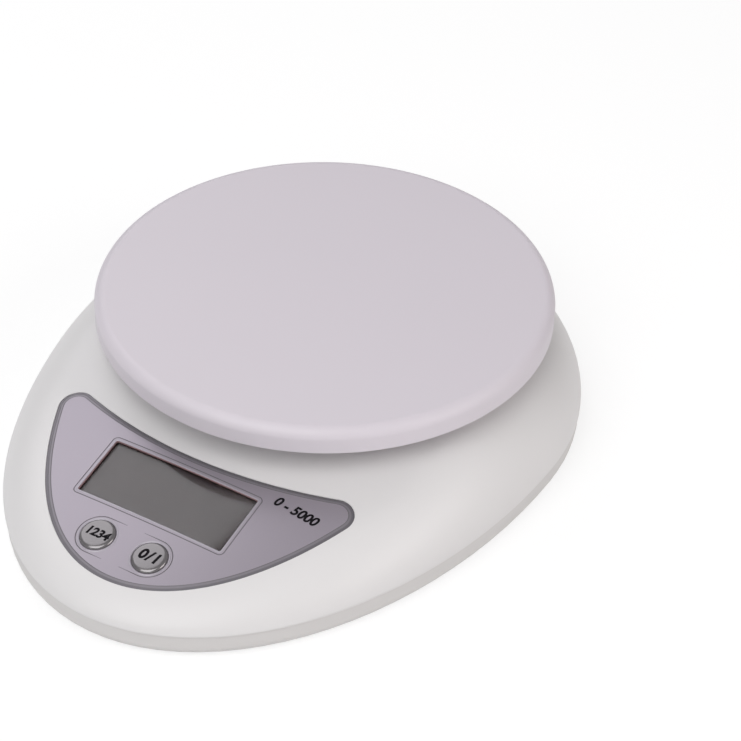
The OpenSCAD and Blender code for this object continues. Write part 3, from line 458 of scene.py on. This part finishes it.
# %% The panel's frame
panel_rear, rear_to_window = 74, 16.25
window_y = -(panel_rear + rear_to_window * cos(slope)) * mm
window_z = parting + roof(0, window_y)
slope_frame = Matrix.Translation((0, window_y + middle, window_z)) @ Matrix.Rotation(slope, 4, "X")


def lay(piece):
    """Lay a piece, drawn flat around the window, on the slope."""
    piece.matrix_world = slope_frame @ piece.matrix_world
    pick(piece)
    bpy.ops.object.transform_apply(location=True, rotation=True, scale=True)
    return piece


print("the window's middle is at", [round(v / mm, 2) for v in slope_frame.translation], "mm")

# %% Bend a flat piece over the nose
bend_radius = half_width ** 2 / (2 * crown_fall * cos(slope))


def bend(piece, every=4 * mm):
    """Cut a flat piece into strips, where it is wide, and bend it over a cylinder that runs uphill."""
    low, high = (fit(point.co.x for point in piece.data.vertices) for fit in (min, max))
    for k in range(int(low // every) + 1, int(high // every) + 1):
        choose(piece, lambda face: True)
        bpy.ops.mesh.bisect(plane_co=(k * every, 0, 0), plane_no=(1, 0, 0))
    clear()
    for point in piece.data.vertices:
        point.co.z = sqrt((bend_radius + point.co.z) ** 2 - point.co.x ** 2) - bend_radius
    return piece


print("the nose is bent over a radius of", round(bend_radius / mm, 1), "mm")

# %% The panel's outline
panel_half, nose_margin = 67.6 * mm, 9.7 * mm
rear_centre, rear_radius, tip_radius = 167.25 * mm, 151 * mm, 6 * mm


def panel_outline(gap, steps=96):
    """Points round the panel, drawn in by a gap: the front, a tip, the rear arc, the other tip."""
    centre_v, half, deep = -window_y / cos(slope), panel_half, (nose - nose_margin) / cos(slope)
    rear, far, tip = Vector((0, rear_centre)), rear_radius, tip_radius

    def front(t):
        place = Vector((half * cos(t), centre_v + deep * sin(t)))
        outward = Vector((cos(t) / half, sin(t) / deep)).normalized()
        return place, outward

    low, high = radians(181), radians(270)
    for _ in range(40):
        t = (low + high) / 2
        place, outward = front(t)
        low, high = (t, high) if (place - tip * outward - rear).length < far + tip else (low, t)
    hub = place - tip * outward
    turn_from = atan2(outward.y, outward.x) % (2 * pi)
    turn_to = atan2(rear.y - hub.y, rear.x - hub.x)
    points = [front(t + (3 * pi - 2 * t) * k / steps) for k in range(steps + 1)]
    points = [place - gap * outward for place, outward in points]
    left_tip = []
    for k in range(1, 13):
        a = turn_from + (turn_to - turn_from) * k / 12
        left_tip.append(hub + (tip - gap) * Vector((cos(a), sin(a))))
    end = left_tip[-1] - rear
    swing = atan2(-end.x, -end.y)
    arc = [rear + (far + gap) * Vector((-sin(swing * k / 24), -cos(swing * k / 24)))
           for k in range(-23, 24)]
    right_tip = [Vector((-p.x, p.y)) for p in left_tip]
    return [tuple(p) for p in points + right_tip + arc + left_tip[::-1]]


outline = panel_outline(0)
print("panel", round((max(p[0] for p in outline) - min(p[0] for p in outline)) / mm, 1), "mm wide")

# %% Rounded boxes and discs
def rounded(width, height, radius, steps=6, at=(0, 0)):
    """Points round a rectangle with rounded corners."""
    points = []
    for corner, (x, y) in enumerate(((1, 1), (-1, 1), (-1, -1), (1, -1))):
        for k in range(steps + 1):
            a = pi / 2 * (corner + k / steps)
            points.append((at[0] + x * (width / 2 - radius) + radius * cos(a),
                           at[1] + y * (height / 2 - radius) + radius * sin(a)))
    return points


def disc(radius, x=0, y=0, steps=64):
    """Points round a circle."""
    return [(x + radius * cos(2 * pi * k / steps), y + radius * sin(2 * pi * k / steps))
            for k in range(steps)]


button_u, button_v = (-11.05 * mm, 8.05 * mm), -21.8 * mm
window_w, window_h, window_at = 52.7 * mm, 21.3 * mm, (-mm, 0.7 * mm)


def round_window(wider, radius, steps=6):
    """Points round the window, drawn wider all round by that much."""
    return rounded(window_w + 2 * wider, window_h + 2 * wider, radius, steps, window_at)


print("window", round(window_w / mm, 1), "x", round(window_h / mm, 1), "mm")

# %% Cut the cover's openings
cover_hole, above, below = 5.8 * mm, 12 * mm, -12 * mm
column_x, column_width, column_depth, column_corner = 26.5 * mm, 30 * mm, 18.7 * mm, 9.34 * mm
cover.data.materials.append(shell_white)
cover.data.materials.append(frame_dark_and_painted_shade)
cutters = [bend(plate("cut_panel", panel_outline(0), -0.75 * mm, above)),
           bend(plate("cut_pane", round_window(2.3 * mm, 2 * mm), -1.6 * mm, above)),
           plate("cut_window", round_window(mm, mm), below, above)]
# The pane seat and the window opening take the dark frame finish on their walls: painted shade on the
# white shell where these walls lie in shade.
for cutter in cutters[1:]:
    cutter.data.materials.append(frame_dark_and_painted_shade)
cutters += [plate("cut_button", disc(cover_hole, u, button_v), below, above) for u in button_u]
for cutter in cutters:
    lay(cutter)
column_slot = plate("cut_column", rounded(column_width, column_depth, column_corner, 16),
                    20 * mm, 50 * mm)
for point in column_slot.data.vertices:
    point.co += Vector((column_x, middle, 0))
cut_away(cover, *cutters, column_slot)
soften(cover, 0.12 * mm, 2, 50)
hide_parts("upper_housing")
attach(cover, "housing")
print("cover:", len(cover.data.polygons), "faces")

# %% [markdown]
# ## The tray below
#
# The lower housing is seen as a narrow band under the parting line and, from
# below, as a floor with the battery door, six screws and four feet. The CAD
# solid already has those forms. A copy of it is merged, because CAD triangles
# share no points, and its edges are then shaded so that the rounded side looks
# round and the recesses stay crisp.

# %% Merge and smooth copies of CAD nodes
def dressed_copy(node, name, angle=30):
    """A merged copy of a CAD node that is shaded smooth, but for its sharp edges."""
    piece = bpy.data.objects.new(name, cad[node].data.copy())
    piece.data.name = name
    piece.data.materials.clear()
    bpy.context.scene.collection.objects.link(piece)
    choose(piece, lambda point: True, "VERT")
    bpy.ops.mesh.remove_doubles(threshold=1e-6)
    bpy.ops.mesh.dissolve_limited(angle_limit=radians(0.5))
    clear()
    pick(piece)
    bpy.ops.object.shade_smooth_by_angle(angle=radians(angle))
    return piece


tray = dressed_copy("lower_housing", "housing_tray")
choose(tray, outline_edges(tray, parting, 0.4 * mm), "EDGE")
bpy.ops.mesh.bevel(offset=0.4 * mm, segments=3, profile=0.5, affect="EDGES")
clear()
smooth(tray, 30)
tray.data.materials.append(base_white)
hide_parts("lower_housing")
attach(tray, "housing")
print("tray:", len(tray.data.polygons), "faces")

# %% [markdown]
# ## The weighing platform
#
# The platform is a shallow round cap with a rolled upper edge and a straight
# rim. A cylinder is the natural start. Its top edge is bevelled in many steps,
# its underside is inset and pushed up to leave a wall, and the inner corner is
# rounded. Four posts underneath stand on the carrier.

# %% Platform
platform_top, hollow_top, rim_low, rim_middle = 48, 45.5, 39.6, 43.8
platform_radius, hollow_radius = 75, 72.6
clear()
bpy.ops.mesh.primitive_cylinder_add(vertices=256, radius=platform_radius * mm, depth=8.4 * mm,
                                    location=(0, middle, rim_middle * mm))
platform = named("platform_top")
bpy.ops.object.transform_apply(location=True, rotation=True, scale=True)
choose(platform, lambda face: face.normal.z < -0.9)
bpy.ops.mesh.inset(thickness=2.4 * mm)
bpy.ops.transform.translate(value=(0, 0, 5.9 * mm))
clear()


def rim_edges(height, radius):
    """Tests whether an edge runs round the platform at that height and radius."""
    def test(edge):
        a, b = (platform.data.vertices[i].co for i in edge.vertices)
        away = hypot(a.x, a.y - middle)
        return (abs(a.z - height) < 1e-5 and abs(b.z - height) < 1e-5
                and abs(away - radius) < 5e-5)
    return test


for height, radius, width, steps in ((platform_top, platform_radius, 3.6, 14),
                                     (hollow_top, hollow_radius, 2.6, 6),
                                     (rim_low, platform_radius, 0.3, 3),
                                     (rim_low, hollow_radius, 0.3, 2)):
    choose(platform, rim_edges(height * mm, radius * mm), "EDGE")
    bpy.ops.mesh.bevel(offset=width * mm, segments=steps, profile=0.5, affect="EDGES")
    clear()
print("platform:", len(platform.data.polygons), "faces,", round(platform.dimensions.x / mm, 1), "mm")

# %% Platform posts
post_circle, first_post, post_radius, post_height = 50.4 * mm, -69, 4 * mm, 5.6 * mm
posts = []
for k in range(4):
    a = radians(first_post + 90 * k)
    clear()
    bpy.ops.mesh.primitive_cylinder_add(vertices=40, radius=post_radius, depth=post_height, location=(
        post_circle * cos(a), middle + post_circle * sin(a), rim_middle * mm))
    posts.append(named("post"))
    bpy.ops.object.transform_apply(location=True, rotation=True, scale=True)
for post in posts:
    use(platform, "BOOLEAN", operation="UNION", solver="EXACT", object=post)
    pick(post)
    bpy.ops.object.delete()
smooth(platform)
platform.data.materials.append(platform_white)
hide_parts("weighing_platform")
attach(platform, "platform")
print("platform with posts:", len(platform.data.polygons), "faces")

# %% [markdown]
# ## The front panel
#
# The panel is a thin silver-printed plate. Its border goes down to the housing
# in two darker bands with a fine dark line inside each, and these fine lines are
# painted shade on small steps. A fine groove runs round the window and round
# each button; the grooves and the walls of the button holes carry painted shade.
# The edge of each opening is a low bead, a little brighter than the face, which
# is a painted highlight. The border is made by insetting the top face again and
# again, and the openings and grooves are cut with a boolean: the cutters' own
# materials end up on the faces they cut. The beads are flattened tubes, half
# sunk in the face. All of it is drawn flat and bent at the end. The plate keeps
# flat shading: its strips turn by so little that they look smooth, and its large
# faces stay clean beside the grooves.

# %% Panel finishes
def silver_print(name, colour, roughness, metallic=0.5):
    """Silver printing ink under a clear satin film: fine flakes that catch the light."""
    material, nodes, links = blank(name)
    vary(material, colour, 0.05, roughness, 0.04, grain,
         {"Grain scale": 5200, "Grain height": 1.5e-6, "Patch scale": 60}, "Grain", "Grain")
    nodes["Principled BSDF"].inputs["Metallic"].default_value = metallic
    nodes["Principled BSDF"].inputs["Coat Weight"].default_value = 0.25
    nodes["Principled BSDF"].inputs["Coat Roughness"].default_value = 0.25
    return material


panel_silver = silver_print("panel silver", (0.38, 0.345, 0.395), 0.36)
band_silver = silver_print("inner border", (0.265, 0.247, 0.275), 0.42)
border_silver = silver_print("outer border", (0.188, 0.177, 0.198), 0.42)
# Painted shade: a darker silver for the grooves, the small steps in the border and the walls of the
# button holes.
groove_shade_silver = silver_print("groove silver, painted shade", (0.18, 0.168, 0.185), 0.5, 0.1)
# Painted highlight: a lighter silver for the beads round the openings, where a raised edge catches
# light.
bead_highlight_silver = silver_print("bead silver, painted highlight", (0.44, 0.415, 0.46), 0.36)
mask_red = plastic("window wall", (0.40, 0.25, 0.26), 0.4, spread=0.05)
print("panel finishes:", ", ".join(m.name for m in (
    panel_silver, band_silver, border_silver, groove_shade_silver, bead_highlight_silver, mask_red)))

# %% Panel plate
panel_hole, panel_gap = 5.72 * mm, 0.1 * mm
panel = plate("silver_panel", panel_outline(panel_gap), -0.7 * mm, -0.2 * mm)
for finish in (border_silver, groove_shade_silver, band_silver, panel_silver, bead_highlight_silver, mask_red):
    panel.data.materials.append(finish)
choose(panel, lambda face: face.normal.z > 0.9)
# Slot 1 paints shade on the small steps between the bands, as fine dark lines.
for slot, inward, up in ((0, 0.72, 0.12), (1, 0.12, -0.04), (1, 0.12, 0.07), (2, 0.6, 0.1),
                         (1, 0.12, -0.05), (1, 0.15, 0.1)):
    panel.active_material_index = slot
    bpy.ops.object.material_slot_assign()
    bpy.ops.mesh.inset(thickness=inward * mm)
    bpy.ops.transform.translate(value=(0, 0, up * mm))
panel.active_material_index = 3
bpy.ops.object.material_slot_assign()
clear()
cut_window = plate("cut_window", round_window(0, 0.6 * mm), -5 * mm, 5 * mm)
cut_window.data.materials.append(mask_red)
cutters = [plate("cut_button", disc(panel_hole, u, button_v), -5 * mm, 5 * mm) for u in button_u]
# Painted shade on the walls of the button holes.
for cutter in cutters:
    cutter.data.materials.append(groove_shade_silver)
cut_away(panel, cut_window, *cutters)
print("panel:", len(panel.data.polygons), "faces")

# %% Lines and beads on the panel
def line(name, points, radius, closed=False, flat=1, ends=1):
    """A thin tube along some points of the panel's face, flattened, with tapered ends if asked."""
    curve = bpy.data.curves.new(name, "CURVE")
    curve.dimensions = "3D"
    curve.bevel_depth = radius
    curve.bevel_resolution = 3
    curve.use_fill_caps = True
    run = curve.splines.new("POLY")
    run.points.add(len(points) - 1)
    for k, (spot, (x, y)) in enumerate(zip(run.points, points)):
        spot.co = (x, y, 0, 1)
        spot.radius = ends if not closed and k in (0, len(points) - 1) else 1
    run.use_cyclic_u = closed
    tube = bpy.data.objects.new(name, curve)
    bpy.context.scene.collection.objects.link(tube)
    pick(tube)
    bpy.ops.object.convert(target="MESH")
    for point in tube.data.vertices:
        point.co.z = 0.1 * mm + point.co.z * flat
    bpy.ops.object.shade_smooth_by_angle(angle=radians(60))
    return tube


def bow(u, side, radius, tail_end):
    """Points half round a button, open to one side, with straight tails to a place."""
    arc = [(u - side * radius * sin(pi * k / 32), button_v + radius * cos(pi * k / 32))
           for k in range(33)]
    return [(tail_end, button_v + radius)] + arc + [(tail_end, button_v - radius)]


groove, bead = 0.17 * mm, 0.24 * mm
bow_radius, ring_radius = 6.9 * mm, 6.1 * mm
grooves = [line("groove", round_window(1.25 * mm, 1.6 * mm), groove, True)]
beads = [line("bead", round_window(0.3 * mm, 0.8 * mm), bead, True, 0.3)]
for u, side, stop in ((button_u[0], 1, -4.9 * mm), (button_u[1], -1, 1.4 * mm)):
    grooves.append(line("groove", bow(u, side, bow_radius, stop), groove, ends=0.3))
    beads.append(line("bead", disc(ring_radius, u, button_v, 72), bead, True, 0.3))
# Painted shade inside the grooves.
for piece in grooves:
    piece.data.materials.append(groove_shade_silver)
cut_away(panel, *grooves)
bend(panel, 3 * mm)
pick(panel)
bpy.ops.object.shade_flat()
# The beads carry a painted highlight.
for piece in beads:
    bend(piece)
    piece.data.materials.append(bead_highlight_silver)
join(panel, *beads)
lay(panel)
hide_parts("front_panel")
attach(panel, "housing")
print("panel with its grooves and beads:", len(panel.data.polygons), "faces")

# %% [markdown]
# ## The two buttons
#
# Each button is a plated plastic cap that stands in a hole of the panel. A wide
# round runs from its side up to its face, which is a little crowned. A flange
# below keeps it in. The cap is turned: a circle is extruded ring by ring along
# its profile, like clay on a wheel. One is made, and the other is a copy with
# its own mesh.

# %% Button finish
button_plate, nodes, links = blank("button plating")
vary(button_plate, (0.25, 0.238, 0.245), 0.08, 0.2, 0.04, grain,
     {"Grain scale": 5000, "Grain height": 2e-6, "Patch scale": 200}, "Grain", "Grain")
nodes["Principled BSDF"].inputs["Metallic"].default_value = 0.6
button_ink = plastic("black ink", (0.008, 0.007, 0.009), 0.8, spread=0.2, swing=0.1,
                     Specular_IOR_Level=0.1)
print("button finishes:", button_plate.name, "and", button_ink.name)

# %% Button cap
cap_radius, flange_radius, flange_low, flange_high = 5.6, 6.8, -3.159, -2.459
round_wide, round_high = 1.25, 0.85
cap_top, cap_crown, face_radius = 0.89, 0.04, 4.35


def crown(radius):
    """Height of the button's face, in mm, at a distance from its middle."""
    return cap_top - cap_crown * (radius / face_radius) ** 2


profile = [(flange_radius, flange_low), (flange_radius, flange_high), (cap_radius, flange_high),
           (cap_radius, -0.2)]
profile += [(cap_radius - round_wide * (1 - cos(pi / 2 * k / 10)), round_high * sin(pi / 2 * k / 10))
            for k in range(1, 11)]
profile += [(r, crown(r)) for r in (3.6, 2.7, 1.8, 0.9, 0.3)]
clear()
bpy.ops.mesh.primitive_circle_add(vertices=96, radius=profile[0][0] * mm, fill_type="NGON",
                                  location=(0, 0, profile[0][1] * mm))
cap = named("button_cap")
bpy.ops.object.transform_apply(location=True, rotation=True, scale=True)
bpy.ops.object.mode_set(mode="EDIT")
bpy.ops.mesh.select_all(action="SELECT")
for (was, low), (radius, high) in zip(profile, profile[1:]):
    bpy.ops.mesh.extrude_region_move(TRANSFORM_OT_translate={"value": (0, 0, (high - low) * mm)})
    bpy.ops.transform.resize(value=(radius / was, radius / was, 1), center_override=(0, 0, 0))
bpy.ops.mesh.select_all(action="SELECT")
bpy.ops.mesh.normals_make_consistent(inside=False)
clear()
smooth(cap, 40)
cap.data.materials.append(button_plate)
cap.data.materials.append(button_ink)
print("cap:", len(cap.data.polygons), "faces,", round(cap.dimensions.z / mm, 2), "mm high")

# %% [markdown]
# ## Print
#
# The marks are silk-screened ink: flat, dark, and a few hundredths of a
# millimetre thick. The buttons get plain numbers, and the panel gets plain
# numbers that tell the range. Text is turned into a mesh before it is placed,
# so that its place can be written into its points.

# %% Print helpers
def printed(text, size, ink, slant=0.0, weight=0.03, spacing=1.0):
    """Text as a thin slab of ink, centred on the origin and facing up."""
    clear()
    bpy.ops.object.text_add(location=(0, 0, 0))
    words = bpy.context.object
    words.data.body = text
    words.data.size = size
    words.data.shear = slant
    words.data.offset = weight * size
    words.data.space_character = spacing
    words.data.align_x = "CENTER"
    words.data.align_y = "CENTER"
    words.data.extrude = 0.015 * mm
    words.data.resolution_u = 6
    bpy.ops.object.convert(target="MESH")
    bpy.context.object.data.materials.append(ink)
    return bpy.context.object


def shift(piece, x, y, z, turn=0):
    """Turn a flat piece about the origin and move it, in its mesh."""
    piece.data.transform(Matrix.Translation((x, y, z)) @ Matrix.Rotation(turn, 4, "Z"))
    return piece


mark = printed("0", 3 * mm, button_ink)
print("a printed digit is", [round(v / mm, 2) for v in mark.dimensions], "mm")
pick(mark)
bpy.ops.object.delete()

# %% Two buttons
power_cap = cap.copy()
power_cap.data = cap.data.copy()
bpy.context.scene.collection.objects.link(power_cap)
power_cap.name = power_cap.data.name = "power_key_cap"
cap.name = cap.data.name = "unit_key_cap"
signs = {cap: printed("1234", 4.1 * mm, button_ink, 0.15, 0.04),
         power_cap: printed("0/1", 5 * mm, button_ink, 0.15, 0.04, 1.15)}
for button, u, node, body in ((cap, button_u[0], "unit_button", "unit_key"),
                              (power_cap, button_u[1], "power_button", "power_key")):
    for point in signs[button].data.vertices:
        x, y, z = point.co
        point.co.z = z + (crown(hypot(x, y) / mm) + 0.01) * mm
    join(button, signs[button])
    shift(button, u, button_v, 0)
    lay(button)
    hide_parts(node)
    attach(button, body)
    print(button.name, len(button.data.polygons), "faces")

# %% Numbers on the panel
numbers_at, numbers_turn = (37.4 * mm, 13.3 * mm, 0.11 * mm), radians(-4.8)
numbers = printed("0 - 5000", 4.6 * mm, button_ink, 0.2, 0.035)
print("print on the panel:", [round(v / mm, 1) for v in numbers.dimensions], "mm")
shift(numbers, *numbers_at, numbers_turn)
numbers.name = numbers.data.name = "range_print"
lay(bend(numbers, every=1))
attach(numbers, "housing")

# %% [markdown]
# ## The display
#
# The window pane and the display glass keep their CAD forms, because both are
# plain plates with sharp edges. The pane is clear acrylic, and its reflections
# are kept faint, so that it doesn't veil what lies below. The display is dark
# grey glass with a satin film, and it has no digits while the scale is off. It
# lies deep in its opening, whose walls shade its far sides; those walls also
# carry painted shade in a dark finish.

# %% Window and display finishes
window_clear, nodes, links = blank("window acrylic")
acrylic_index, faint_gloss = 1.49, 0.03
glassy = nodes["Principled BSDF"]
glassy.inputs["Base Color"].default_value = (0.93, 0.93, 0.93, 1)
glassy.inputs["Transmission Weight"].default_value = 1
glassy.inputs["IOR"].default_value = acrylic_index
glassy.inputs["Specular IOR Level"].default_value = faint_gloss
smear = nodes.new("ShaderNodeTexNoise")
smear.inputs["Scale"].default_value = 90
place = nodes.new("ShaderNodeTexCoord")
gloss = nodes.new("ShaderNodeMapRange")
gloss.inputs["To Min"].default_value = 0.04
gloss.inputs["To Max"].default_value = 0.08
links.new(place.outputs["Object"], smear.inputs["Vector"])
links.new(smear.outputs["Fac"], gloss.inputs["Value"])
links.new(gloss.outputs["Result"], glassy.inputs["Roughness"])
display_grey = plastic("display glass", (0.052, 0.034, 0.032), 0.4, spread=0.03, swing=0.03,
                       scale=900, height=0, patch=40, Specular_IOR_Level=0.24)
print("display finishes:", window_clear.name, "and", display_grey.name)

# %% Circuit board and cell jacket
board_green = plastic("board green", (0.02, 0.13, 0.05), 0.35, spread=0.15, scale=700,
                      height=1.5e-5, patch=250)
cell_jacket, nodes, links = blank("cell jacket")
vary(cell_jacket, (0.62, 0.38, 0.08), 0.05, 0.3, 0.05, grain,
     {"Grain scale": 2000, "Grain height": 2e-6, "Patch scale": 80}, "Patches", "Grain")
nodes["Principled BSDF"].inputs["Metallic"].default_value = 0.8
print("inner finishes:", board_green.name, "and", cell_jacket.name)

# %% Give every CAD node its finish
finishes = {
    "upper_housing": shell_white, "lower_housing": base_white, "rubber_feet": foot_rubber,
    "housing_screws": screw_steel, "weighing_platform": platform_white,
    "platform_carrier": inner_white, "platform_screws": screw_steel,
    "carrier_screws": screw_steel, "top_spacer": spacer_steel, "load_cell": beam_metal,
    "gauge_seals": seal_white, "base_spacer": spacer_steel, "base_screws": screw_steel,
    "overload_stop": screw_steel, "front_panel": panel_silver, "display_window": window_clear,
    "display_glass": display_grey, "display_frame": frame_dark_and_painted_shade, "contact_strip": strip_pink,
    "circuit_board": board_green, "board_chips": chip_black, "board_screws": screw_steel,
    "unit_button": button_plate, "power_button": button_plate, "unit_switch": switch_black,
    "power_switch": switch_black, "unit_plunger": switch_black, "power_plunger": switch_black,
    "battery_cells": cell_jacket, "battery_springs": contact_metal,
    "bridge_contact": contact_metal, "lead_contacts": contact_metal,
    "battery_door": base_white, "door_latch": base_white, "load_cell_cable": sheath_grey,
    "positive_lead": sheath_red, "negative_lead": sheath_black}
for node, finish in finishes.items():
    cad[node].data.materials.clear()
    cad[node].data.materials.append(finish)
print(len(finishes), "nodes have a finish; still without:", sorted(set(cad) - set(finishes)))

# %% [markdown]
# ## Floor and light
#
# The scale stands on a white studio floor. A white floor that is only lit can
# never be quite white without burning out the white plastic. So the camera
# sees a floor that glows partly by itself and is partly lit: it is white, and
# it still takes the soft shadow. The light is a faint even sky and three large
# soft lamps: a strong one in front and a weaker one on either side. The panel
# and the display mirror the left one, so both are brighter towards their left
# end, as in the photograph.

# %% Floor
glow_share, glow_level = 0.62, 1.18
clear()
bpy.ops.mesh.primitive_plane_add(size=12)
floor = named("studio_floor")
floor_white, nodes, links = blank("floor white")
nodes["Principled BSDF"].inputs["Base Color"].default_value = (0.85, 0.85, 0.85, 1)
nodes["Principled BSDF"].inputs["Roughness"].default_value = 0.9
seen = nodes.new("ShaderNodeLightPath")
either = nodes.new("ShaderNodeMath")
either.operation = "MAXIMUM"
also = nodes.new("ShaderNodeMath")
also.operation = "MAXIMUM"
share = nodes.new("ShaderNodeMath")
share.operation = "MULTIPLY"
share.inputs[1].default_value = glow_share
glow = nodes.new("ShaderNodeEmission")
glow.inputs["Strength"].default_value = glow_level
both = nodes.new("ShaderNodeMixShader")
links.new(seen.outputs["Is Camera Ray"], either.inputs[0])
links.new(seen.outputs["Is Glossy Ray"], either.inputs[1])
links.new(either.outputs["Value"], also.inputs[0])
links.new(seen.outputs["Is Transmission Ray"], also.inputs[1])
links.new(also.outputs["Value"], share.inputs[0])
links.new(share.outputs["Value"], both.inputs["Fac"])
links.new(nodes["Principled BSDF"].outputs["BSDF"], both.inputs[1])
links.new(glow.outputs["Emission"], both.inputs[2])
links.new(both.outputs["Shader"], nodes["Material Output"].inputs["Surface"])
floor.data.materials.append(floor_white)
print("floor", round(floor.dimensions.x, 1), "m wide")

# %% Sky
sky_level = 0.2
sky = bpy.data.worlds.new("studio sky")
bpy.context.scene.world = sky
sky.use_nodes = True
even_sky = sky.node_tree.nodes["Background"]
even_sky.inputs["Color"].default_value = (1, 1, 1, 1)
even_sky.inputs["Strength"].default_value = sky_level
print("sky level", sky_level)

# %% Lamps
def soft_lamp(name, place, target, size, power, colour=(1, 1, 1)):
    """A square soft lamp that looks at a target."""
    lamp = bpy.data.lights.new(name, "AREA")
    lamp.size = size
    lamp.energy = power
    lamp.color = colour
    holder = bpy.data.objects.new(name, lamp)
    bpy.context.scene.collection.objects.link(holder)
    holder.location = place
    aim = Vector(target) - Vector(place)
    holder.rotation_euler = aim.to_track_quat("-Z", "Y").to_euler()
    return holder


middle_of_scale = (0, -0.02, 0.03)
soft_lamp("front softbox", (0.03, -0.86, 1.03), middle_of_scale, 1.1, 10.9)
soft_lamp("right softbox", (1.12, 0.08, 0.68), middle_of_scale, 0.7, 5.4, (1, 0.95, 0.93))
soft_lamp("left softbox", (-0.82, 0.42, 0.93), middle_of_scale, 1.0, 4.7, (0.98, 0.97, 1))
bpy.context.scene.view_settings.view_transform = "Standard"
